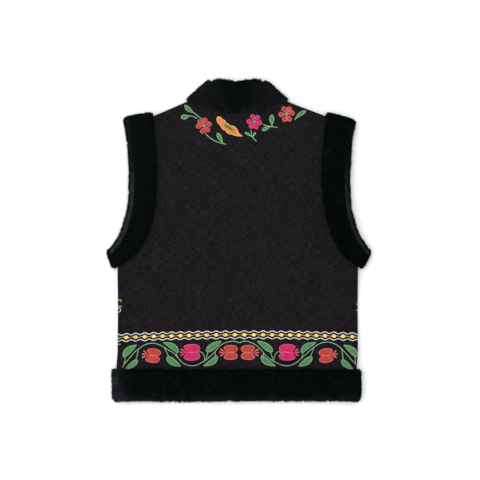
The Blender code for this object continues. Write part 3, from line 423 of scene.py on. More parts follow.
def top_surface(across, up):
    """Height of the cloth's upper face: past a side fold it drops on a quarter circle."""
    past = np.clip(np.abs(across) - SIDE, 0.0, CLOTH_OUTSIDE)
    rise = np.sqrt(CLOTH_OUTSIDE**2 - past**2)
    return back_height(across, up) + rise


def laid(points):
    """Pattern points as they lie: the sides shifted by soft steps, the origin in the middle."""
    points = np.array(points, float)
    rows = np.array(LAY_ROWS)
    share = smooth((np.abs(points[:, 0]) - LAY_INNER) / (LAY_OUTER - LAY_INNER))
    points[:, 0] += np.interp(points[:, 1], rows[:, 0], rows[:, 1]) * share
    at_collar = (points[:, 1] - COLLAR_SHIFT_START) / (COLLAR_SHIFT_END - COLLAR_SHIFT_START)
    points[:, 0] += COLLAR_SHIFT * smooth(at_collar)
    at_corner = smooth((points[:, 0] - CORNER_INNER) / (CORNER_OUTER - CORNER_INNER))
    at_corner = at_corner * smooth((points[:, 1] - CORNER_LOW) / (CORNER_HIGH - CORNER_LOW))
    points[:, 1] -= CORNER_DROP * at_corner
    points[:, 0] -= ACROSS_MIDDLE
    points[:, 1] -= UP_MIDDLE
    return points


def add_mesh(name, points, face_groups, materials, values=None, smoothed=True):
    """A mesh object from whole arrays. Each face group is an array of faces with its material.

    values holds named numbers, one for each point, that the materials read.
    """
    mesh = bpy.data.meshes.new(name)
    mesh.vertices.add(len(points))
    mesh.vertices.foreach_set("co", np.ascontiguousarray(points, np.float32).ravel())
    corners = np.concatenate([group.ravel() for group in face_groups]).astype(np.int32)
    sizes = np.concatenate([np.full(len(group), group.shape[1]) for group in face_groups])
    index = np.concatenate([np.full(len(group), k) for k, group in enumerate(face_groups)])
    mesh.loops.add(len(corners))
    mesh.loops.foreach_set("vertex_index", corners)
    mesh.polygons.add(len(sizes))
    starts = np.concatenate([[0], np.cumsum(sizes)[:-1]]).astype(np.int32)
    mesh.polygons.foreach_set("loop_start", starts)
    mesh.polygons.foreach_set("material_index", np.minimum(index, len(materials) - 1).astype(np.int32))
    mesh.polygons.foreach_set("use_smooth", np.full(len(sizes), smoothed))
    for key, numbers in (values or {}).items():
        layer = mesh.attributes.new(key, "FLOAT", "POINT")
        layer.data.foreach_set("value", np.asarray(numbers, np.float32))
    for finish in materials:
        mesh.materials.append(finish)
    mesh.update(calc_edges=True)
    mesh.validate()
    made = bpy.data.objects.new(name, mesh)
    bpy.context.scene.collection.objects.link(made)
    return made


def grid_faces(rows, columns, first=0):
    """The quads of a grid of points, row by row."""
    corner = first + np.arange((rows - 1) * columns).reshape(rows - 1, columns)[:, :-1].ravel()
    return np.column_stack([corner, corner + 1, corner + columns + 1, corner + columns])


def principled(name, colour, roughness, **sockets):
    """A material with one Principled shader, its tree and the shader."""
    made = bpy.data.materials.new(name)
    made.use_nodes = True
    shader = made.node_tree.nodes["Principled BSDF"]
    shader.inputs["Base Color"].default_value = (*colour, 1.0)
    shader.inputs["Roughness"].default_value = roughness
    for socket, value in sockets.items():
        shader.inputs[socket.replace("_", " ")].default_value = value
    return made, made.node_tree, shader


def colour_ramp(tree, source, stops):
    """A colour ramp read from a socket, with its stops as (place, colour)."""
    ramp = tree.nodes.new("ShaderNodeValToRGB")
    while len(ramp.color_ramp.elements) < len(stops):
        ramp.color_ramp.elements.new(0.5)
    for element, (place, colour) in zip(ramp.color_ramp.elements, stops):
        element.position = place
        element.color = (*colour, 1.0)
    tree.links.new(source, ramp.inputs["Fac"])
    return ramp.outputs["Color"]


def scaled_coordinates(tree, scale):
    """Object coordinates through a Mapping node."""
    coordinates = tree.nodes.new("ShaderNodeTexCoord")
    mapping = tree.nodes.new("ShaderNodeMapping")
    mapping.inputs["Scale"].default_value = scale
    tree.links.new(coordinates.outputs["Object"], mapping.inputs["Vector"])
    return mapping.outputs["Vector"]


def noise_of(tree, scale, detail=2.0):
    """A noise texture on Object coordinates, stretched by its scale in x, y and z."""
    noise = tree.nodes.new("ShaderNodeTexNoise")
    noise.inputs["Scale"].default_value = 1.0
    noise.inputs["Detail"].default_value = detail
    tree.links.new(scaled_coordinates(tree, scale), noise.inputs["Vector"])
    return noise.outputs["Fac"]


def math_node(tree, operation, first, second):
    """One arithmetic node on two sockets or numbers."""
    node = tree.nodes.new("ShaderNodeMath")
    node.operation = operation
    for place, value in enumerate((first, second)):
        if isinstance(value, (int, float)):
            node.inputs[place].default_value = value
        else:
            tree.links.new(value, node.inputs[place])
    return node.outputs[0]


def bump_from(tree, shader, height, distance, strength=1.0):
    """A bump node between a height and the shader's normal."""
    bump = tree.nodes.new("ShaderNodeBump")
    bump.inputs["Distance"].default_value = distance
    bump.inputs["Strength"].default_value = strength
    tree.links.new(height, bump.inputs["Height"])
    tree.links.new(bump.outputs["Normal"], shader.inputs["Normal"])


def attribute_of(tree, name):
    """A number that the mesh holds for each point."""
    node = tree.nodes.new("ShaderNodeAttribute")
    node.attribute_name = name
    return node.outputs["Fac"]


WEAVE_PITCH = 0.00065
WAVE_PERIOD = 0.314159


def cloth_material():
    """Black plain weave: over and under threads in the bump, uneven threads in the colour."""
    made, tree, shader = principled(
        "black_weave", (0.0080, 0.0072, 0.0085), 0.85,
        Specular_IOR_Level=0.06, Sheen_Weight=0.02, Sheen_Roughness=0.5,
    )
    waves = []
    for direction in ("X", "Y"):
        wave = tree.nodes.new("ShaderNodeTexWave")
        wave.bands_direction = direction
        wave.inputs["Scale"].default_value = WAVE_PERIOD / WEAVE_PITCH
        wave.inputs["Distortion"].default_value = 0.0
        tree.links.new(scaled_coordinates(tree, (1, 1, 1)), wave.inputs["Vector"])
        waves.append(wave.outputs["Fac"])
    checker = tree.nodes.new("ShaderNodeTexChecker")
    checker.inputs["Scale"].default_value = 1.0 / WEAVE_PITCH
    tree.links.new(scaled_coordinates(tree, (1, 1, 1)), checker.inputs["Vector"])
    over = math_node(tree, "MULTIPLY", waves[0], checker.outputs["Fac"])
    rest = math_node(tree, "SUBTRACT", 1.0, checker.outputs["Fac"])
    under = math_node(tree, "MULTIPLY", waves[1], rest)
    bump_from(tree, shader, math_node(tree, "ADD", over, under), 0.00012, 0.8)
    warp = noise_of(tree, (620, 80, 1), 2.0)
    weft = noise_of(tree, (80, 620, 1), 2.0)
    blotch = noise_of(tree, (30, 30, 30), 2.0)
    threads = math_node(tree, "ADD", warp, weft)
    mixed = math_node(tree, "ADD", threads, math_node(tree, "MULTIPLY", blotch, 0.25))
    mixed = math_node(tree, "MULTIPLY", mixed, 0.444)
    stops = (
        (0.36, (0.0036, 0.0026, 0.0040)),
        (0.50, (0.0078, 0.0068, 0.0084)),
        (0.66, (0.0215, 0.0192, 0.0225)),
    )
    tree.links.new(colour_ramp(tree, mixed, stops), shader.inputs["Base Color"])
    return made


def thread_material(name, dark, plain, light, roughness=0.5):
    """Embroidery thread: each stitch has its own shade, and its plies make a fine bump."""
    made, tree, shader = principled(
        name, plain, roughness, Specular_IOR_Level=0.3, Sheen_Weight=0.15, Sheen_Roughness=0.4,
    )
    shade = attribute_of(tree, "shade")
    stops = ((0.0, dark), (0.5, plain), (1.0, light))
    tree.links.new(colour_ramp(tree, shade, stops), shader.inputs["Base Color"])
    wave = tree.nodes.new("ShaderNodeTexWave")
    wave.bands_direction = "DIAGONAL"
    wave.inputs["Scale"].default_value = WAVE_PERIOD / 0.00045
    tree.links.new(scaled_coordinates(tree, (1, 1, 1)), wave.inputs["Vector"])
    bump_from(tree, shader, wave.outputs["Fac"], 0.00006, 0.6)
    return made


def fur_material():
    """Black plush with a faint cold cast. An attribute paints sheen into its colour: grey where the pile
    would catch the light.
    """
    made, tree, shader = principled(
        "black_plush", (0.0010, 0.0018, 0.0020), 0.75,
        Specular_IOR_Level=0.04, Sheen_Weight=0.012, Sheen_Roughness=0.35,
    )
    shader.inputs["Sheen Tint"].default_value = (0.75, 0.85, 0.9, 1.0)
    # Painted sheen plus a random tone pick the colour from the ramp; the ramp's top stop is the grey of the
    # painted sheen
    tone = math_node(tree, "ADD", attribute_of(tree, "painted_sheen"), attribute_of(tree, "shade"))
    stops = (
        (0.0, (0.0001, 0.0020, 0.0019)),
        (0.25, (0.0006, 0.0028, 0.0028)),
        (0.50, (0.0065, 0.0082, 0.0095)),
        (1.0, (0.0480, 0.0480, 0.0570)),
    )
    tree.links.new(colour_ramp(tree, tone, stops), shader.inputs["Base Color"])
    return made


def thread_tones(red, green, blue):
    """A dark, a plain and a light tone of one thread colour."""
    plain = np.array([red, green, blue])
    return tuple(plain * 0.62), tuple(plain), tuple(np.minimum(plain * 1.30 + 0.01, 1.0))


def make_materials():
    """All finishes, by name."""
    finishes = {"cloth": cloth_material(), "fur": fur_material()}
    colours = {
        "red": (0.560, 0.052, 0.045),
        "red_edge": (0.800, 0.175, 0.165),
        "magenta": (0.660, 0.010, 0.125),
        "magenta_edge": (0.790, 0.110, 0.270),
        "green": (0.088, 0.272, 0.100),
        "green_edge": (0.275, 0.510, 0.290),
        "orange": (0.840, 0.285, 0.055),
        "orange_edge": (0.960, 0.540, 0.260),
        "vein_green": (0.060, 0.220, 0.045),
        "yellow": (0.930, 0.670, 0.170),
        "white": (0.930, 0.880, 0.890),
        "khaki": (0.380, 0.350, 0.155),
        "gold": (0.640, 0.480, 0.230),
    }
    for name, colour in colours.items():
        finishes[name] = thread_material("thread_" + name, *thread_tones(*colour))
    return finishes


def coons(bottom, top, left, right):
    """A patch between four edge lines: straight blends both ways, less the blend of its corners."""
    s = np.linspace(0, 1, len(bottom))[None, :, None]
    t = np.linspace(0, 1, len(left))[:, None, None]
    between = (1 - t) * bottom[None] + t * top[None] + (1 - s) * left[:, None] + s * right[:, None]
    low = (1 - s) * bottom[0] + s * bottom[-1]
    high = (1 - s) * top[0] + s * top[-1]
    return between - (1 - t) * low - t * high


def outward_of(line, side):
    """The direction at right angles to a line in the pattern, on its outer side."""
    along = unit(np.gradient(line, axis=0))
    return np.column_stack([along[:, 1], -along[:, 0]]) * side


def shoulder(count, side=1):
    """The shoulder fold, from the neck to the arm, with a point at its bend."""
    to_bend = round(0.6 * (count - 1))
    places = np.concatenate([np.linspace(0, 1, to_bend + 1), np.linspace(1, 2, count - to_bend)[1:]])
    line = [np.interp(places, range(3), column) for column in np.array(SHOULDER).T]
    return np.column_stack(line) * np.array([side, 1])


def fold_wrap(line, outward, layer):
    """A panel's strip round a fold: half a circle about the plane between the layers, and on.

    Its last rows sink a little towards the seam, where the cloth is turned under.
    """
    height = middle_height(line[:, 0], line[:, 1])
    rows = []
    for angle in np.radians(np.linspace(0, 180, 9)[1:]):
        out = SHELL_MIDDLE * math.sin(angle)
        rise = SHELL_MIDDLE * math.cos(angle) * layer
        rows.append(np.column_stack([line + outward * out, height + rise]))
    for share, sink in ((0.4, 0.0), (0.75, 0.0001), (0.93, 0.0004), (1.0, 0.0009)):
        back = line - outward * WRAP * share
        rise = (SHELL_MIDDLE - sink) * layer
        rows.append(np.column_stack([back, middle_height(*back.T) - rise]))
    return np.array(rows)


def add_cloth(name, patch, layer, folds, finish, seam_sink):
    """One cloth panel as a thin shell on its solid's outer face, wrapped round its folds.

    folds holds, for each fold, the indices of the patch's points along it and the outward
    direction there. seam_sink is how far each of the patch's points sinks towards a seam.
    """
    rows, columns = patch.shape[:2]
    flat = patch.reshape(-1, 2)
    height = back_height(*flat.T) if layer > 0 else middle_height(*flat.T)
    points = [np.column_stack([flat, height + (SHELL_MIDDLE - seam_sink.ravel()) * layer])]
    faces = [grid_faces(rows, columns)]
    if layer < 0:
        faces[0] = faces[0][:, ::-1]
    total = len(flat)
    for indices, outward in folds:
        strip = fold_wrap(flat[indices], outward, layer)
        steps, across = strip.shape[:2]
        points.append(strip.reshape(-1, 3))
        quads = grid_faces(steps, across, total)
        joint = np.column_stack([
            indices[:-1], indices[1:], total + np.arange(1, across), total + np.arange(across - 1)
        ])
        faces.append(np.vstack([joint, quads]))
        total += steps * across
    made = add_mesh(name, laid(np.vstack(points)), [np.vstack(faces)], [finish])
    thick = made.modifiers.new("cloth", "SOLIDIFY")
    thick.thickness = SHELL
    thick.offset = 0.0
    thick.use_even_offset = False
    return made


def back_patch(rows, columns, neck_columns):
    """The back's pattern: hem, side seams and armholes, shoulders and neckline, blended."""
    side_x = SIDE - WRAP - SEAM_GAP
    lower_rows = round(rows * 0.5)
    edges = []
    for side in (-1, 1):
        up = np.linspace(hem_edge(side * side_x, "back"), UNDERARM, lower_rows)
        seam = np.column_stack([np.full(lower_rows, side * side_x), up])
        edge = np.vstack([seam[:-1], cloth_armhole(rows - lower_rows + 1, side)])
        edge[lower_rows - 1] = (side * side_x, UNDERARM)
        edges.append(edge)
    shoulder_columns = (columns - neck_columns + 1) // 2
    neck = spline([row[:2] for row in COLLAR_BACK], 60)
    neck = resampled(np.vstack([neck * (-1, 1), neck[-2::-1]]), neck_columns + 1)
    top = np.vstack([shoulder(shoulder_columns, -1)[::-1], neck[1:-1], shoulder(shoulder_columns)])
    bottom = np.linspace(-side_x, side_x, len(top))
    bottom = np.column_stack([bottom, hem_edge(bottom, "back")])
    return coons(bottom, top, *edges), shoulder_columns


def add_back_cloth(finish):
    """The back, with its edges turned under at the side seams."""
    patch, shoulder_columns = back_patch(*BACK_GRID)
    rows, columns = patch.shape[:2]
    first = (rows - 1) * columns
    left = first + np.arange(shoulder_columns)
    right = first + np.arange(columns - shoulder_columns, columns)
    folds = [(left, outward_of(patch[-1, :shoulder_columns], -1))]
    folds.append((right, outward_of(patch[-1, -shoulder_columns:], -1)))
    from_seam = SIDE - WRAP - SEAM_GAP - np.abs(patch[..., 0])
    sink = 0.0009 * (1 - smooth(from_seam / 0.0030)) * (patch[..., 1] < UNDERARM)
    return add_cloth("back_cloth", patch, 1, folds, finish, sink)


def front_patch(side, rows, columns, lower_rows, neck_rows):
    """One front's pattern: centre front, neckline, shoulder seam, armhole and side fold."""
    bottom = np.linspace(CENTRE_GAP, SIDE, columns)
    bottom = np.column_stack([bottom, hem_edge(bottom * side, "front")])
    up = np.linspace(hem_edge(side * SIDE, "front"), UNDERARM, lower_rows)
    outer = np.column_stack([np.full(lower_rows, SIDE), up])
    seam = shoulder(columns)
    seam = seam - outward_of(seam, -1) * (WRAP + SEAM_GAP)
    arm = cloth_armhole(160)
    arm = np.vstack([arm[arm[:, 1] < seam[-1, 1] - EDGE_GAP], seam[-1:]])
    outer = np.vstack([outer[:-1], resampled(arm, rows - lower_rows + 1)])
    neck = spline([row[:2] for row in COLLAR_FRONT], 60)[::-1]
    neck = neck[neck[:, 1] < seam[0, 1] - 0.001]
    neck = resampled(np.vstack([neck, seam[:1]]), neck_rows)
    centre_rows = rows - neck_rows + 1
    centre = np.linspace(bottom[0, 1], neck[0, 1], centre_rows)
    centre = np.column_stack([np.full(centre_rows, CENTRE_GAP), centre])
    inner = np.vstack([centre[:-1], neck])
    return coons(bottom, seam, inner, outer) * np.array([side, 1])


def add_front_cloth(name, side, finish):
    """One front, from its centre edge to the seam that shows beside the side fold."""
    rows, columns, lower_rows, neck_rows = FRONT_GRID
    patch = front_patch(side, rows, columns, lower_rows, neck_rows)
    indices = np.arange(lower_rows) * columns + columns - 1
    outward = np.tile([float(side), 0.0], (lower_rows, 1))
    folds = [(indices, outward)]
    made = add_cloth(name, patch, -1, folds, finish, np.zeros(patch.shape[:2]))
    if side < 0:
        made.data.flip_normals()
    return made


def stitch_grid(starts, ends, widths, heights):
    """Stitches as thin prisms: five stations from start to end, each a flat-topped arch.

    The half width and the height swell from each end by fixed shares, and the ends are sunk
    into the cloth. Returns (stitches, stations, corners, 3) in the pattern, height last.
    """
    along = np.array([0.0, 0.13, 0.5, 0.87, 1.0])
    swell = np.array([0.35, 0.88, 1.0, 0.88, 0.35])
    rise = np.array([0.0, 0.78, 1.0, 0.78, 0.0])
    corner_side = np.array([-1.0, -0.55, 0.55, 1.0])
    corner_rise = np.array([0.0, 1.0, 1.0, 0.0])
    way = unit(ends - starts)
    beside = np.column_stack([-way[:, 1], way[:, 0]])
    line = starts[:, None] + (ends - starts)[:, None] * along[:, None]
    half = widths[:, None] / 2 * swell
    flat = line[:, :, None] + beside[:, None, None] * (half[:, :, None] * corner_side)[..., None]
    height = heights[:, None, None] * rise[:, None] * corner_rise - SUNK * (1 - corner_rise)
    return np.concatenate([flat, np.broadcast_to(height, (len(starts), 5, 4))[..., None]], -1)


def stitch_faces(count, first):
    """The quads of count stitches of five stations and four corners each, closed at both ends."""
    station = np.arange(4)[:, None] * 4
    corner = np.arange(4)
    following = (corner + 1) % 4
    quads = np.stack([
        station + corner, station + following, station + 4 + following, station + 4 + corner
    ], -1)
    one = np.vstack([quads.reshape(-1, 4), [[3, 2, 1, 0]], [[16, 17, 18, 19]]])
    return (first + np.arange(count)[:, None, None] * 20 + one).reshape(-1, 4)


def add_threads(name, groups, nodes, random):
    """Stitches on the cloth's upper face.

    Each group is (starts, ends, widths, heights, finish, how far it lies above the cloth).
    """
    points, faces, finishes, shades = [], [], [], []
    first = 0
    for starts, ends, width, height, finish, above in groups:
        count = len(starts)
        widths = np.broadcast_to(width, count) * random.uniform(0.92, 1.08, count)
        heights = np.broadcast_to(height, count) * random.uniform(0.88, 1.12, count)
        grid = stitch_grid(starts, ends, widths, heights)
        grid[..., 2] += above
        points.append(grid.reshape(-1, 3))
        faces.append(stitch_faces(count, first))
        finishes.append(finish)
        grain = lattice_noise(np.column_stack([starts, np.zeros(count)]), 0.0017, SEED + 9) * 0.30
        shades.append(np.repeat(np.clip(random.normal(0.5, 0.14, count) + grain, 0, 1), 20))
        first += count * 20
    points = np.vstack(points)
    points[:, 2] += top_surface(points[:, 0], points[:, 1])
    made = add_mesh(name, laid(points), faces, finishes, {"shade": np.concatenate(shades)})
    finished(made, nodes)
    return made


def fill(outline, degrees, length, random):
    """Rows of straight stitches inside an outline, each row between its two outermost crossings.

    Rows run in one direction, FILL_PITCH apart, and are split into stitches like bricks in a wall.
    """
    angle = math.radians(degrees)
    turn = np.array([[math.cos(angle), math.sin(angle)], [-math.sin(angle), math.cos(angle)]])
    turned = outline @ turn.T
    u, v = turned[:, 0], turned[:, 1]
    u_next, v_next = np.roll(u, -1), np.roll(v, -1)
    rows = np.arange(v.min() + FILL_PITCH * 0.5, v.max(), FILL_PITCH)
    crosses = (v - rows[:, None]) * (v_next - rows[:, None]) < 0
    steep = np.where(np.abs(v_next - v) < 1e-12, 1e-12, v_next - v)
    place = u + (rows[:, None] - v) / steep * (u_next - u)
    low = np.where(crosses, place, np.inf).min(1)
    high = np.where(crosses, place, -np.inf).max(1)
    kept = high > low + FILL_PITCH * 0.6
    rows, low, high = rows[kept], low[kept], high[kept]
    count = math.ceil((high - low).max() / length) + 2
    phase = (np.arange(len(rows)) % 2) * 0.5 + random.uniform(0.0, 1.0, len(rows)) * 0.25
    start = low[:, None] + (np.arange(count) - phase[:, None]) * length
    stop = np.minimum(start + length, high[:, None])
    start = np.maximum(start, low[:, None])
    row = np.broadcast_to(rows[:, None], start.shape)
    good = stop - start > FILL_PITCH * 0.8
    overlap = FILL_PITCH * 0.25
    starts = np.column_stack([start[good] - overlap, row[good]]) @ turn
    ends = np.column_stack([stop[good] + overlap, row[good]]) @ turn
    return starts, ends


def rope(path, width, closed=False):
    """Stem stitch along a path: short slanted stitches, each starting halfway along the last."""
    step = width * 0.95
    length = np.linalg.norm(np.diff(path, axis=0), axis=1).sum()
    count = max(int(length / step), 3)
    line = resampled(np.vstack([path, path[:2]]) if closed else path, count + 2)
    beside = outward_of(line, 1)
    slant = width * 0.16
    starts = line[:-2] - beside[:-2] * slant
    ends = line[2:] + beside[2:] * slant
    return starts, ends


def inset(outline, amount):
    """A closed outline moved inwards by an amount, along the normal at each of its points."""
    along = unit(np.roll(outline, -1, 0) - np.roll(outline, 1, 0))
    x, y = outline.T
    turn = np.sign((x * np.roll(y, -1) - y * np.roll(x, -1)).sum())
    return outline + np.column_stack([-along[:, 1], along[:, 0]]) * (amount * turn)


def fill_group(outline, degrees, finish, random, length=FILL_LENGTH, height=0.00055):
    """The stitches that fill an outline."""
    return (*fill(outline, degrees, length, random), FILL_PITCH * 1.35, height, finish, 0.0)


def edge_group(outline, finish, step=1.0, width=0.8, height=0.0006):
    """Stem stitch round an outline, its step and width as shares of the outline's thread."""
    return (*rope(outline, OUTLINE_WIDTH * step, True), OUTLINE_WIDTH * width, height, finish, 0.0)


def direction_of(start, stop):
    """The direction from one point to another, in degrees."""
    return math.degrees(math.atan2(stop[1] - start[1], stop[0] - start[0]))


NECK_LEAF_SHAPE = (1.50, 0.75, 1.0)
BORDER_LEAF_SHAPE = (0.70, 0.78, 0.75)
VEIN_SHAPE = (0.75, 0.75, 1.0)


def leaf_edges(base, tip, width, bow, shape, count=26):
    """A leaf's centre line and its two edges, in by half the outline's thread.

    The shape holds three powers. The half width is the sine of pi times s to the first, and all
    of it to the second. The bow of the centre line is the sine of pi times s to the third.
    """
    base, tip = np.array(base), np.array(tip)
    share = np.linspace(0, 1, count)
    skew, bluntness, bow_skew = shape
    beside = np.array([-(tip - base)[1], (tip - base)[0]]) / np.linalg.norm(tip - base)
    sway = np.sin(np.pi * share**bow_skew) * bow
    centre = base + np.outer(share, tip - base) + np.outer(sway, beside)
    half = width / 2 * np.sin(np.pi * share**skew) ** bluntness
    return centre, *inset_edges(centre, half, half)


def inset_edges(centre, upper, lower):
    """Both edges of a form about a centre line, moved in by half the outline's thread."""
    out = outward_of(centre, -1)
    above, below = centre + out * upper[:, None], centre - out * lower[:, None]
    outline = inset(np.vstack([above, below[-2:0:-1]]), OUTLINE_WIDTH / 2)
    last = len(centre) - 1
    return outline[: last + 1], np.vstack([outline[:1], outline[:last:-1], outline[last : last + 1]])


def leaf_groups(base, tip, width, bow, finishes, random, shape=NECK_LEAF_SHAPE, colour="green"):
    """A leaf's stitches: two halves that slant away from its midrib, and an outline."""
    centre, left, right = leaf_edges(base, tip, width, bow, shape)
    axis = direction_of(base, tip)
    groups = []
    for edge, slant in ((left, 38.0), (right, -38.0)):
        half = np.vstack([centre, edge[::-1]])
        groups.append(fill_group(half, axis + slant, finishes[colour], random, height=0.00050))
    groups.append(edge_group(np.vstack([left, right[-2:0:-1]]), finishes[colour + "_edge"], 0.85))
    return groups


def line_group(path, width, finish, height=0.0008):
    """One line of stem stitch."""
    starts, ends = rope(path, width)
    return (starts, ends, width * 0.62, height, finish, 0.0)


def petal_outline(middle, radius, turn):
    """A blunt petal from the flower's middle to its rim, widest past halfway, clear of the next."""
    share = np.linspace(0, 1, 22)
    way = np.array([math.cos(turn), math.sin(turn)])
    beside = np.array([-way[1], way[0]])
    reach = radius * (0.18 + 0.82 * share)
    half = radius * PETAL_WIDTH * np.sin(np.pi * share**1.10) ** 0.85
    half = np.minimum(half, reach * math.tan(math.radians(PETAL_HALF_ANGLE)) - PETAL_GAP)
    centre = middle + np.outer(reach, way)
    left, right = centre + np.outer(half, beside), centre - np.outer(half, beside)
    return inset(np.vstack([left, right[-2:0:-1]]), OUTLINE_WIDTH / 2)


def add_flowers(finishes, random):
    """Three flowers of six petals, each stitched outwards, with a small starred eye."""
    for name, across, up, radius, colour, directions in FLOWERS:
        middle = np.array([across, up])
        groups = []
        for direction in directions:
            outline = petal_outline(middle, radius, math.radians(direction))
            for upper in (1, -1):
                one_side = outline[:22] if upper > 0 else outline[21:]
                half = np.vstack([one_side, outline[[0]]])
                groups.append(fill_group(half, direction - upper * 12, finishes[colour], random, 0.0066))
            groups.append(edge_group(outline, finishes[colour + "_edge"], 0.8, 0.7))
        angles = np.radians(np.arange(12) * 30 + directions[0])
        way = np.column_stack([np.cos(angles), np.sin(angles)])
        reach = radius * np.where(np.arange(12) % 2, 0.19, 0.27)[:, None]
        starts, ends = middle + way * 0.0006, middle + way * reach
        groups.append((starts, ends, 0.0012, 0.0007, finishes["khaki"], 0.0002))
        add_threads(name + "_thread", groups, [name], random)


def add_sprigs(finishes, random):
    """The stems and leaves round the neck."""
    for name, (stems, leaves) in SPRIGS.items():
        groups = [line_group(spline(stem, 40), 0.0023, finishes["green_edge"]) for stem in stems]
        for row in leaves:
            groups += leaf_groups(*row, finishes, random)
        add_threads(name + "_thread", groups, [name], random)


def add_orange_leaf(finishes, random):
    """A lobed leaf: its half width swells in waves, and a green vein lies on it."""
    start, stop = np.array(ORANGE_LEAF)
    share = np.linspace(0, 1, 80)
    along = stop - start
    beside = np.array([-along[1], along[0]]) / np.linalg.norm(along)
    centre = start + np.outer(share, along) + np.outer(np.sin(np.pi * share) * ORANGE_BOW, beside)
    edges = []
    for rows in ORANGE_EDGES:
        starts, halves, swells = np.array(rows).T
        lobe = np.interp(share, starts, np.arange(len(starts)))
        swell = swells[np.minimum(lobe.astype(int), len(starts) - 1)]
        edges.append(np.interp(share, starts, halves) + swell * np.abs(np.sin(np.pi * lobe)) ** 0.6)
    left, right = inset_edges(centre, *edges)
    axis = direction_of(start, stop)
    groups = []
    for edge, slant in ((left, 48.0), (right, -48.0)):
        half = np.vstack([centre, edge[::-1]])
        groups.append(fill_group(half, axis + slant, finishes["orange"], random, 0.0068))
    groups.append(edge_group(np.vstack([left, right[-2:0:-1]]), finishes["orange_edge"]))
    add_threads("yoke_leaf_orange_thread", groups, ["yoke_leaf_orange"], random)
    centre, left, right = leaf_edges(*ORANGE_VEIN, VEIN_WIDTH, 0.0, VEIN_SHAPE)
    starts, ends = fill(np.vstack([left, right[::-1]]), direction_of(*ORANGE_VEIN), 0.006, random)
    groups = [(starts, ends, FILL_PITCH * 1.4, 0.0005, finishes["vein_green"], 0.0005)]
    add_threads("yoke_leaf_vein_thread", groups, ["yoke_leaf_vein"], random)


def bordered(points, side):
    """Border points, given for the right half, on one side: moved and spread by a parabola."""
    points = np.array(points, float)
    shift = BORDER_MIDDLE + BORDER_STRETCH * (points[..., 0] / SIDE) ** 2
    points[..., 0] = points[..., 0] * side + shift
    return points


def chain_height(across):
    """Height of the chain's centre line: a slight tilt, and a parabola that dips at both sides."""
    return CHAIN_HEIGHT + BORDER_TILT * across / SIDE - BORDER_DIP * (across / SIDE) ** 2


def add_vine(finishes, random):
    """The vine in stem stitch, with its leaves and their stalks."""
    rows = np.array(VINE_ROWS)
    left = rows[:0:-1, :2] * (-1, 1)
    line = bordered(spline(np.vstack([left, rows[:, [0, 2]]]), 400), 1)
    groups = [line_group(line, VINE_WIDTH, finishes["green_edge"])]
    for side in (-1, 1):
        for stalk, base, tip, width, bow in BORDER_LEAVES:
            turned = side if tip[1] > base[1] else -side
            away = bow * turned * (1 if tip[0] > base[0] else -1)
            stalk, base, tip = bordered((stalk, base, tip), side)
            groups += leaf_groups(base, tip, width, away, finishes, random, BORDER_LEAF_SHAPE)
            stalk = line[np.argmin(np.linalg.norm(line - stalk, axis=1))]
            end = base + (tip - base) * 0.12
            groups.append(line_group(np.array([stalk, end]), STALK_WIDTH, finishes["green_edge"]))
        stalk = spline(bordered(FRUIT_STALK, side), 30)
        groups.append((*rope(stalk, STALK_WIDTH), STALK_WIDTH * 0.62, 0.0008, finishes["green_edge"], 0.0006))
    add_threads("border_vine_thread", groups, ["border_vine"], random)


def lobe_outline(length, height, offset):
    """One lobe about the fruit's middle: an ellipse, cut off by a slant where the tassels fan out."""
    angles = np.linspace(0, 2 * np.pi, 72, endpoint=False)
    u = np.sign(np.cos(angles)) * np.abs(np.cos(angles)) ** 0.9 * length / 2
    v = np.sign(np.sin(angles)) * np.abs(np.sin(angles)) ** 0.9 * height / 2 + offset
    u = np.minimum(u, length * (TASSEL_ROOT - 0.06) + np.abs(v) * CUT_SLOPE)
    return np.column_stack([u, v])


def add_fruits(finishes, random):
    """Fruits of two lobes in long rows of thread, outlined, with tassels at the outer end."""
    for name, across, up, length, height, turn, colour in FRUITS:
        for side, suffix in ((-1, "_left"), (1, "_right")):
            middle = bordered((across, up), side)
            lean = math.radians(turn)
            out = np.array([side * math.cos(lean), math.sin(lean)])
            over = np.array([-side * math.sin(lean), math.cos(lean)])
            frame = np.array([out, over])
            groups = []
            apex = middle + out * TASSEL_ROOT * length
            for angle in TASSELS:
                spread = math.radians(angle)
                way = out * math.cos(spread) + over * math.sin(spread)
                beside = np.array([-way[1], way[0]]) * np.array([-1.0, 0.0, 1.0])[:, None]
                starts = apex - way * 0.0010 + beside * 0.0002
                ends = apex + way * TASSEL_LENGTH + beside * TASSEL_SPREAD
                groups.append((starts, ends, 0.0011, 0.0007, finishes[colour], 0.0002))
                starts = apex + way * TASSEL_LENGTH * 0.45 + beside * TASSEL_SPREAD * 0.5
                groups.append((starts, ends, 0.0010, 0.0009, finishes[colour + "_edge"], 0.0004))
            for upper in (1, -1):
                lobe = lobe_outline(length, height * 0.54, upper * height * 0.235)
                outline = middle + inset(lobe, OUTLINE_WIDTH / 2) @ frame
                length_here = FILL_LENGTH * 1.15
                groups.append(
                    fill_group(outline, side * turn, finishes[colour], random, length_here, 0.0006)
                )
                groups.append(edge_group(outline, finishes[colour + "_edge"], 0.9, height=0.0007))
            add_threads(name + suffix + "_thread", groups, [name + suffix], random)


def dot_shift(across):
    """How far the chain's dots lie to the right of an even row: a slow cosine."""
    return DOT_SHIFT + DOT_WANDER * np.cos(2 * np.pi * (across - WANDER_START) / WANDER_LENGTH)


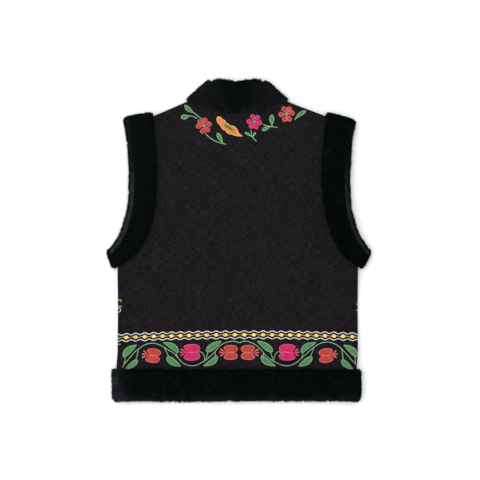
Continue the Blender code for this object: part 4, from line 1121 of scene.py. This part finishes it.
def add_chain(finishes, random):
    """Knots of yellow thread on a gold one, between two white lines that swell round them."""
    places = (np.arange(CHAIN_DOTS) - (CHAIN_DOTS - 1) / 2) * CHAIN_PITCH
    places = places + dot_shift(places)
    heights = chain_height(places)
    bars = np.linspace(-0.88, 0.88, 11)
    half = np.sqrt(1 - bars**2) * 0.90 + 0.06
    slant = 0.14 * -np.sign(places)[:, None]
    starts, ends = (
        np.stack([
            places[:, None] + (bars + way * slant * half) * DOT_RADIUS,
            heights[:, None] + way * half * DOT_RADIUS,
        ], -1)
        for way in (-1, 1)
    )
    crown = np.tile(0.0006 + 0.0008 * half**2, len(places))
    links = np.concatenate([[-FOLD_REACH - 0.004], places, [FOLD_REACH + 0.004]])
    groups = []
    for left, right in zip(links, links[1:]):
        start, stop = max(left + 0.0030, -FOLD_REACH), min(right - 0.0030, FOLD_REACH)
        if stop - start < 0.002:
            continue
        x = np.linspace(start, stop, 12)
        share = (x - left) / (right - left)
        y = chain_height(x) + 0.0012 * np.cos(np.pi * share) * np.tanh((left + right) / 2 / 0.02)
        line = np.column_stack([x, y])
        groups.append(line_group(line, 0.0016, finishes["gold"], 0.0006))
        for tail in (line[:3], line[-3:]):
            groups.append(line_group(resampled(tail, 4), 0.0026, finishes["yellow"], 0.0008))
    groups.append((starts.reshape(-1, 2), ends.reshape(-1, 2), 0.00115, crown, finishes["yellow"], 0.0))
    add_threads("border_chain_thread", groups, ["border_chain"], random)
    steps = np.linspace(-FOLD_REACH, FOLD_REACH, 900)
    swell = -np.cos(2 * np.pi * (steps - dot_shift(steps)) / CHAIN_PITCH)
    swell = np.sign(swell) * np.abs(swell) ** 0.85
    for name, side in (("border_wave_upper", 1), ("border_wave_lower", -1)):
        line = chain_height(steps) + side * (WAVE_FROM_CHAIN + WAVE_SWING * swell)
        group = line_group(np.column_stack([steps, line]), 0.0023, finishes["white"], 0.0009)
        add_threads(name + "_thread", [group], [name], random)


def add_fold_ends(finishes, random):
    """What shows of the fronts' embroidery where they wrap round the side folds."""
    groups = []
    marks = (
        (-1, ((0.0, 0.1880), (-0.0035, 0.1905), (-0.0065, 0.1885), (-0.0070, 0.1850)), "yellow", 0.0018),
        (-1, ((0.0, 0.1770), (-0.0080, 0.1768)), "white", 0.0016),
        (-1, ((0.0, 0.1735), (-0.0045, 0.1725), (-0.0055, 0.1690), (-0.0040, 0.1655), (0.0, 0.1650)),
         "white", 0.0018),
        (-1, ((0.0, 0.1010), (-0.0065, 0.1015)), "green_edge", 0.0024),
        (1, ((0.0, 0.1815), (-0.0035, 0.1812)), "white", 0.0014),
        (1, ((0.0, 0.1695), (-0.0035, 0.1692)), "white", 0.0014),
    )
    for side, points, finish, width in marks:
        path = spline([(side * (FOLD_REACH + inwards), up) for inwards, up in points], 24)
        groups.append(line_group(path, width, finishes[finish]))
    return add_threads("fold_embroidery_thread", groups, [], random)


def band_section(width, crown, middle, inside):
    """A fur band over a cloth edge, as (distance in from the edge, height out from the middle)."""
    near, mid, far = inside
    rise = crown - BAND_INSIDE
    return np.array(
        [
            (width, far),
            (width + 0.0012, BAND_INSIDE + 0.35 * rise),
            (width - 0.0010, BAND_INSIDE + 0.75 * rise),
            (width - 0.0060, BAND_INSIDE + 0.97 * rise),
            (width * 0.55, BAND_INSIDE + rise),
            (0.0080, BAND_INSIDE + 0.98 * rise),
            (-0.0010, BAND_INSIDE + 0.86 * rise),
            (-0.0060, BAND_INSIDE + 0.52 * rise),
            (-LIP, BAND_INSIDE + 0.10 * rise),
            (-0.0062, HALF_GAP),
            (-EDGE_GAP, HALF_GAP),
            (-EDGE_GAP, near),
            (width * middle, mid),
        ]
    )


def collar_section(width, crown, overlap):
    """The collar strip: a slab from the neck seam to its free edge, overlapping the cloth."""
    start = EDGE_GAP * 2
    return np.array(
        [
            (start, HALF_GAP),
            (width * 0.5, HALF_GAP),
            (width - 0.0030, HALF_GAP),
            (width + 0.0010, HALF_GAP + 0.30 * crown),
            (width - 0.0012, 0.78 * crown),
            (width - 0.0070, 0.97 * crown),
            (width * 0.5, crown),
            (0.0050, 0.97 * crown),
            (start - 0.55 * overlap, 0.78 * crown),
            (start - overlap, BAND_INSIDE + 0.12 * crown),
            (start - 0.85 * overlap, BAND_INSIDE),
            (start, BAND_INSIDE),
        ]
    )


SECTION_POINTS = 40 if FULL else 24
BAND_OUTER = (0.0, 0.62)
COLLAR_OUTER = (0.30, 0.92)


def ring_points(seam_side, other_side, section, normal):
    """A section at one station: across the strip from seam_side, and out along normal.

    The section is resampled evenly, and a point under the floor is flattened onto it.
    """
    closed = resampled(np.vstack([section, section[:1]]), SECTION_POINTS + 1)[:-1]
    flat = seam_side + np.outer(closed[:, 0], unit(other_side - seam_side))
    height = middle_height(*flat.T)
    if normal[2] > 0.9:
        height = height + crease_height(*flat.T)
    points = np.column_stack([flat, height]) + np.outer(closed[:, 1], normal)
    points[:, 2] = np.maximum(points[:, 2], 0.0)
    return points


def band_ring(row, normal, crown):
    """One station of a band: row holds the cloth edge and the seam."""
    edge, seam = row[:2], row[2:4]
    width = np.linalg.norm(seam - edge)
    past = max(abs(edge[0]) - BULGE_START, 0.0) / max(abs(edge[0] - seam[0]), EDGE_GAP)
    middle = min(max(past, 0.08), 0.9)
    places = edge[0] + (seam[0] - edge[0]) * np.array([0.0, middle, 1.0])
    share = smooth((np.abs(places) - BULGE_START) / (BULGE_END - BULGE_START))
    inside = BAND_INSIDE + (HALF_GAP - BAND_INSIDE) * share
    return ring_points(edge, seam, band_section(width, crown, middle, inside), normal)


def fold_normals(outward, start, steps):
    """Unit normals that turn half round a fold, from one layer's to the other's."""
    turns = np.radians(np.linspace(0, 180, steps + 2)[1:-1])
    return [np.array([*(outward * math.sin(turn)), start * math.cos(turn)]) for turn in turns]


UP, DOWN = np.array([0, 0, 1.0]), np.array([0, 0, -1.0])
LOW_CROWN = LIFT + CLOTH_OUTSIDE


def armhole_rings(side, count, fold_count):
    """The rings of an armhole trim: back, fold under the arm, front, fold over the shoulder."""
    rows = armhole(count, side)
    outs = []
    for row in (rows[0], rows[-1]):
        across = unit(row[2:] - row[:2])
        outs.append(np.array([across[1], -across[0]]) * side)
    crown = BAND_INSIDE + FUR_ARM_FOLD
    rings = [band_ring(row, UP, BAND_INSIDE + FUR_TOP) for row in rows]
    rings += [band_ring(rows[-1], n, crown) for n in fold_normals(-outs[1], 1, fold_count)]
    rings += [band_ring(row, DOWN, LOW_CROWN) for row in rows[::-1]]
    rings += [band_ring(rows[0], n, crown) for n in fold_normals(outs[0], -1, fold_count)]
    return np.array(rings)


def hem_rings(count, fold_count):
    """The rings of the hem: centre front, side fold, across the back, side fold, centre front."""

    def station(across, layer, normal, crown):
        row = np.array([across, hem_edge(across, layer), across, HEM_BAND])
        return band_ring(row, normal, crown)

    front = np.linspace(CENTRE_GAP, SIDE, count // 2)
    crown = BAND_INSIDE + FUR_FOLD
    rings = [station(-x, "front", DOWN, LOW_CROWN) for x in front]
    rings += [station(-SIDE, "back", n, crown) for n in fold_normals(np.array([-1.0, 0]), -1, fold_count)]
    rings += [station(x, "back", UP, BAND_INSIDE + FUR_TOP) for x in np.linspace(-SIDE, SIDE, count)]
    rings += [station(SIDE, "back", n, crown) for n in fold_normals(np.array([1.0, 0]), 1, fold_count)]
    rings += [station(x, "front", DOWN, LOW_CROWN) for x in front[::-1]]
    return np.array(rings)


def collar_rings(count, fold_count):
    """The rings of the collar: centre front, fold, across the back, fold, centre front."""
    behind, before = spline(COLLAR_BACK, count), spline(COLLAR_FRONT, count)
    at_end = np.outer(1 - smooth(np.arange(count) / (count * 0.16)), COLLAR_END)
    behind[:, :2] += at_end
    before[:, :2] += at_end
    behind[:, 3] += np.interp(np.abs(behind[:, 2]), *np.array(COLLAR_RISE).T)
    behind[:, 4] += COLLAR_LOWER * smooth(np.arange(count) / (count * 0.2))
    mirror = np.array([-1, 1, -1, 1, 1])

    def station(row, normal, crown):
        seam, free, overlap = row[:2], row[2:4], row[4]
        section = collar_section(np.linalg.norm(free - seam), crown, max(overlap, 0.00015))
        if overlap < 0.001:
            section[:, 0] = np.maximum(section[:, 0], 2.5 * EDGE_GAP)
        return ring_points(seam, free, section, normal)

    def fold_rings(row, side, start):
        along = unit(row[2:4] - row[:2])
        outward = np.array([along[1], -along[0]]) * side
        return [station(row, n, COLLAR_FOLD) for n in fold_normals(outward, start, fold_count)]

    rings = [station(row * mirror, DOWN, LOW_CROWN) for row in before[::-1]]
    rings += fold_rings(behind[0] * mirror, -1, -1)
    rings += [station(row * mirror, UP, COLLAR_TOP) for row in behind]
    rings += [station(row, UP, COLLAR_TOP) for row in behind[-2::-1]]
    rings += fold_rings(behind[0], 1, 1)
    rings += [station(row, DOWN, LOW_CROWN) for row in before]
    return np.array(rings)


def surface_normals(rings, closed):
    """Outward normals of a ringed surface: the cross product of its two directions."""
    if closed:
        along = np.roll(rings, -1, 0) - np.roll(rings, 1, 0)
    else:
        along = np.gradient(rings, axis=0)
    around = np.roll(rings, -1, 1) - np.roll(rings, 1, 1)
    normals = unit(np.cross(along, around))
    centre = rings.mean(1, keepdims=True)
    wrong = ((rings - centre) * normals).sum((1, 2)) < 0
    normals[wrong] *= -1
    return normals


def outer_mask(count, outer):
    """How far each point round a section faces outwards: 1 on the pile side, 0 on the lining."""
    share = (np.arange(count) + 0.5) / count
    low, high = outer
    return smooth((share - low) / 0.05) * smooth((high - share) / 0.05)


PILE_INSET = 0.0007
TUFT_SPIKES = 9
ARMHOLE_TUFTS, HEM_TUFTS, COLLAR_TUFTS = 3900, 5100, 3200
# Painted sheen, the grey painted into the pile's tips where it would catch the light: the trims' base amount,
# and what the armholes' rim adds, left and right (more on the lit left)
ARMHOLE_PAINTED_SHEEN, RIM_PAINTED_SHEEN, RIM_REACH = (0.25, 0.09), (1.60, 1.50), 0.0032
# Painted sheen over the whole collar
COLLAR_PAINTED_SHEEN = 0.36
SPIKE_RADIUS = 0.00042


def painted_sheen_of(points, kind):
    """Painted sheen, grey painted where the pile would catch the light: the armholes' edge, the hem's lower
    and left edge, the collar.
    """
    across, up = points[:, 0], points[:, 1]
    patches = lattice_noise(points * (1, 1, 0.3), 0.011, SEED + 5) * 0.5 + 0.5
    if kind == "hem":
        low = 1 - smooth((up + 0.012) / 0.028)
        left = 1 - smooth((across + 0.252) / 0.060)
        return np.clip(low * 0.78 + left * 1.10, 0, 1.2) * (0.45 + 0.75 * patches)
    if kind == "collar":
        ends = smooth(np.abs(across) / 0.075)
        low = 1 - smooth((up - 0.566) / 0.022)
        return COLLAR_PAINTED_SHEEN + 0.32 * ends + low * 0.60 * patches * patches
    edge = armhole(60)[:, :2]
    least = np.full(len(points), 9.0)
    for point in edge:
        least = np.minimum(least, np.hypot(np.abs(across) - point[0], up - point[1]))
    rim = np.exp(-((least / RIM_REACH) ** 2)) * (0.75 + 0.50 * patches)
    rim = rim * (0.25 + 0.75 * smooth((0.480 - up) / 0.070))
    top = 0.10 * smooth((up - 0.420) / 0.070)
    left, right = (tone + top + rim * share for tone, share in zip(ARMHOLE_PAINTED_SHEEN, RIM_PAINTED_SHEEN))
    return np.where(across < 0, left, right)


def add_pile(name, rings, closed, outer, kind, comb, tufts, node, finish, random):
    """A fur trim: a lumpy base a little inside the solid's form, and tufts of spikes on it.

    A tuft is a few thin three-sided spikes whose roots are spread and whose tips draw
    together. They lean from the base's normal towards comb, a direction in the pattern.
    """
    normals = surface_normals(rings, closed)
    mask = outer_mask(rings.shape[1], outer)
    flat = rings.reshape(-1, 3)
    lumps = lattice_noise(flat, 0.012, SEED + 2) * 0.0004 + lattice_noise(flat, 0.005, SEED + 3) * 0.0002
    depth = (PILE_INSET + lumps.reshape(rings.shape[:2])) * mask
    base = rings - normals * depth[..., None]
    base[..., 2] = np.maximum(base[..., 2], 0.0)
    count, around = rings.shape[:2]
    following = (np.arange(around) + 1) % around
    ring = np.arange(count if closed else count - 1)[:, None] * around
    after = (np.arange(count if closed else count - 1) + 1)[:, None] % count * around
    here = np.arange(around)
    quads = np.stack([ring + here, ring + following, after + following, after + here], -1).reshape(-1, 4)
    groups = [quads]
    points = base.reshape(-1, 3)
    if not closed:
        ends = np.array([base[0].mean(0), base[-1].mean(0)])
        start = np.column_stack([following, here, np.full(around, len(points))])
        last = (count - 1) * around
        stop = np.column_stack([last + here, last + following, np.full(around, len(points) + 1)])
        points = np.vstack([points, ends])
        groups.append(np.vstack([start, stop]))
    # Painted sheen on the base, at half strength
    painted_sheen = painted_sheen_of(points, kind) * 0.5
    shade = lattice_noise(points, 0.006, SEED + 4) * 0.10 + 0.10
    made = add_mesh(name + "_base", laid(points), groups, [finish], {"painted_sheen": painted_sheen, "shade": shade})
    make_outward(made)
    finished(made, [node])

    along = np.roll(rings, -1, 0) - rings
    if not closed:
        along[-1] = 0
    area = np.linalg.norm(np.cross(along, np.roll(rings, -1, 1) - rings), axis=-1)
    upward = np.clip(normals[..., 2] * 0.5 + 0.5, 0, 1)
    weight = area * mask * (0.35 + 0.65 * smooth(upward * 2))
    chosen = random.choice(weight.size, tufts, p=(weight / weight.sum()).ravel())
    row, column = np.divmod(chosen, around)
    s, t = random.random(tufts)[:, None], random.random(tufts)[:, None]
    next_row = (row + 1) % count if closed else np.minimum(row + 1, count - 1)
    next_column = (column + 1) % around

    def blended(field):
        near = field[row, column] * (1 - t) + field[row, next_column] * t
        far = field[next_row, column] * (1 - t) + field[next_row, next_column] * t
        return near * (1 - s) + far * s

    root, normal = blended(base), unit(blended(normals))
    leaning = comb(root)
    leaning = leaning - normal * (leaning * normal).sum(1, keepdims=True)
    stray = random.normal(0, 0.30, (tufts, 3))
    length = random.uniform(0.0032, 0.0054, tufts)[:, None]
    way = unit(normal * random.uniform(0.40, 0.70, (tufts, 1)) + leaning * 0.8 + stray * 0.45)
    side_a = unit(np.cross(way, normal + 0.001))
    side_b = np.cross(normal, side_a)
    spread = random.normal(0, 0.0017, (tufts, TUFT_SPIKES, 2))
    roots = root[:, None] + side_a[:, None] * spread[..., :1] + side_b[:, None] * spread[..., 1:]
    roots = roots - normal[:, None] * 0.0006
    tips = root[:, None] + way[:, None] * length[:, None] * random.uniform(
        0.75, 1.12, (tufts, TUFT_SPIKES, 1)
    )
    tips = tips + (roots - root[:, None]) * 0.80 + random.normal(0, 0.00040, tips.shape)
    roots, tips = roots.reshape(-1, 3), tips.reshape(-1, 3)
    axis = unit(tips - roots)
    first = unit(np.cross(axis, random.normal(0, 1, axis.shape)))
    second = np.cross(axis, first)
    turns = np.radians((0, 120, 240))
    corners = [
        roots + (first * math.cos(turn) + second * math.sin(turn)) * SPIKE_RADIUS for turn in turns
    ]
    spikes = np.stack([*corners, tips], 1)
    spikes[..., 2] = np.maximum(spikes[..., 2], 0.0001)
    number = len(spikes)
    one = np.array([(0, 1, 3), (1, 2, 3), (2, 0, 3), (2, 1, 0)])
    faces = (np.arange(number)[:, None, None] * 4 + one).reshape(-1, 3)
    tone = np.repeat(random.normal(0.12, 0.06, tufts), TUFT_SPIKES)
    shade = np.stack([tone - 0.08, tone - 0.08, tone - 0.08, tone + 0.08], 1).ravel()
    # Painted sheen on the spikes: a quarter at the roots, full at the tips
    painted_sheen = np.repeat(painted_sheen_of(root, kind), TUFT_SPIKES * 4) * np.tile([0.25, 0.25, 0.25, 1.0], number)
    points = laid(spikes.reshape(-1, 3))
    pile = add_mesh(name + "_pile", points, [faces], [finish], {"painted_sheen": painted_sheen, "shade": shade})
    finished(pile, [])
    return made, pile


def make_outward(piece):
    """Faces turned outwards on a closed mesh, by the sign of its volume."""
    mesh = piece.data
    mesh.calc_loop_triangles()
    corners = np.empty(len(mesh.loop_triangles) * 3, np.int32)
    mesh.loop_triangles.foreach_get("vertices", corners)
    points = np.empty(len(mesh.vertices) * 3, np.float32)
    mesh.vertices.foreach_get("co", points)
    a, b, c = points.reshape(-1, 3)[corners.reshape(-1, 3)].transpose(1, 0, 2)
    if (np.cross(a, b) * c).sum() < 0:
        mesh.flip_normals()


def comb_down(roots):
    """The hem's pile lies down towards the hem, wavering from side to side."""
    sway = lattice_noise(roots * (1, 1, 0.3), 0.022, SEED + 6)
    return unit(np.column_stack([sway * 0.7, np.full(len(roots), -1.0), np.zeros(len(roots))]))


def comb_collar(roots):
    """The collar's pile lies down towards the neck seam and out to its ends."""
    sway = lattice_noise(roots * (1, 1, 0.3), 0.020, SEED + 7)
    down, level = np.full(len(roots), -1.0), np.zeros(len(roots))
    return unit(np.column_stack([roots[:, 0] * 4 + sway * 0.7, down, level]))


def comb_armhole(roots):
    """An armhole's pile lies out towards the arm and a little down."""
    sway = lattice_noise(roots * (1, 1, 0.3), 0.022, SEED + 8)
    out = np.sign(roots[:, 0]) * 0.8
    return unit(np.column_stack([out, -0.5 + sway * 0.9, np.zeros(len(roots))]))


def add_fur(finishes, random):
    """All four fur trims. Returns the base and the pile of each, by node."""
    share = 1.0 if FULL else 0.25
    dense = (70, 9) if FULL else (30, 5)
    trims = {}
    for side, name in ((-1, "armhole_fur_left"), (1, "armhole_fur_right")):
        rings = armhole_rings(side, *dense)
        trims[name] = add_pile(
            name, rings, True, BAND_OUTER, "armhole", comb_armhole, int(ARMHOLE_TUFTS * share), name,
            finishes["fur"], random,
        )
    rings = hem_rings(130 if FULL else 60, dense[1])
    trims["hem_fur"] = add_pile(
        "hem_fur", rings, False, BAND_OUTER, "hem", comb_down, int(HEM_TUFTS * share), "hem_fur",
        finishes["fur"], random,
    )
    rings = collar_rings(40 if FULL else 18, dense[1])
    trims["collar_fur"] = add_pile(
        "collar_fur", rings, False, COLLAR_OUTER, "collar", comb_collar, int(COLLAR_TUFTS * share),
        "collar_fur", finishes["fur"], random,
    )
    return trims


def finished(piece, nodes):
    """What each piece of the vest needs: it rides with the vest, and stands for its nodes."""
    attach(piece, "root")
    if nodes:
        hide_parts(*nodes)


def patch_outline(patch):
    """The edge of a patch, once round."""
    return np.vstack([patch[0], patch[1:, -1], patch[-1, -2::-1], patch[-2:0:-1, 0]])


def make_studio():
    """A near-white floor, even soft light, and a camera straight above."""
    floor_finish, _, _ = principled("pale_floor", (0.97, 0.97, 0.97), 1.0, Specular_IOR_Level=0.0)
    corners = np.array([(-4, -4, 0), (4, -4, 0), (4, 4, 0), (-4, 4, 0)], float)
    floor = add_mesh("floor", corners, [np.array([[0, 1, 2, 3]])], [floor_finish], smoothed=False)
    floor.location.z = -0.0005
    world = bpy.data.worlds.new("studio")
    bpy.context.scene.world = world
    world.use_nodes = True
    background = world.node_tree.nodes["Background"]
    background.inputs["Color"].default_value = (1.0, 1.0, 1.0, 1.0)
    background.inputs["Strength"].default_value = 0.84
    lights = (
        ("overhead", (-0.5, 0.5, 2.4), 2.2, 27.0),
        ("from_left", (-2.0, -0.8, 1.3), 1.4, 10.0),
    )
    for name, place, size, power in lights:
        light = bpy.data.lights.new(name, "AREA")
        light.size = size
        light.energy = power
        lamp = bpy.data.objects.new(name, light)
        lamp.location = place
        toward = -np.array(place)
        flat = math.hypot(toward[0], toward[1])
        heading = math.atan2(toward[1], toward[0]) - math.pi / 2
        lamp.rotation_euler = (math.atan2(flat, -toward[2]), 0, heading)
        bpy.context.scene.collection.objects.link(lamp)
    view = bpy.context.scene.view_settings
    view.view_transform = "Standard"
    view.look = "None"
    view.exposure = 0.0
    lens = bpy.data.cameras.new("camera")
    lens.lens = 80.0
    lens.sensor_width = 36.0
    camera = bpy.data.objects.new("camera", lens)
    camera_height = VIEW_PLANE + PHOTO_WIDTH * lens.lens / lens.sensor_width
    camera.location = (PHOTO_CENTRE[0], PHOTO_CENTRE[1], camera_height)
    bpy.context.scene.collection.objects.link(camera)
    bpy.context.scene.camera = camera


# The photograph is 480 pixels of 2 mm, and its middle lies here in the frame
PHOTO_WIDTH = 0.960
PHOTO_CENTRE = (0.0017, 0.0024)
VIEW_PLANE = 0.012


def main():
    random = np.random.default_rng(SEED)
    finishes = make_materials()
    back = add_back_cloth(finishes["cloth"])
    finished(back, ["back_panel"])
    left = add_front_cloth("front_cloth_left", -1, finishes["cloth"])
    right = add_front_cloth("front_cloth_right", 1, finishes["cloth"])
    finished(left, ["front_panel_left"])
    finished(right, ["front_panel_right"])
    add_flowers(finishes, random)
    add_sprigs(finishes, random)
    add_orange_leaf(finishes, random)
    add_vine(finishes, random)
    add_fruits(finishes, random)
    add_chain(finishes, random)
    add_fold_ends(finishes, random)
    trims = add_fur(finishes, random)
    declare()


def declare():
    """The outline of the back's pattern, on a coarse grid; nothing further is done with it.
    """
    back_outline = patch_outline(back_patch(60, 60, 20)[0])


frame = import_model()
main()
make_studio()
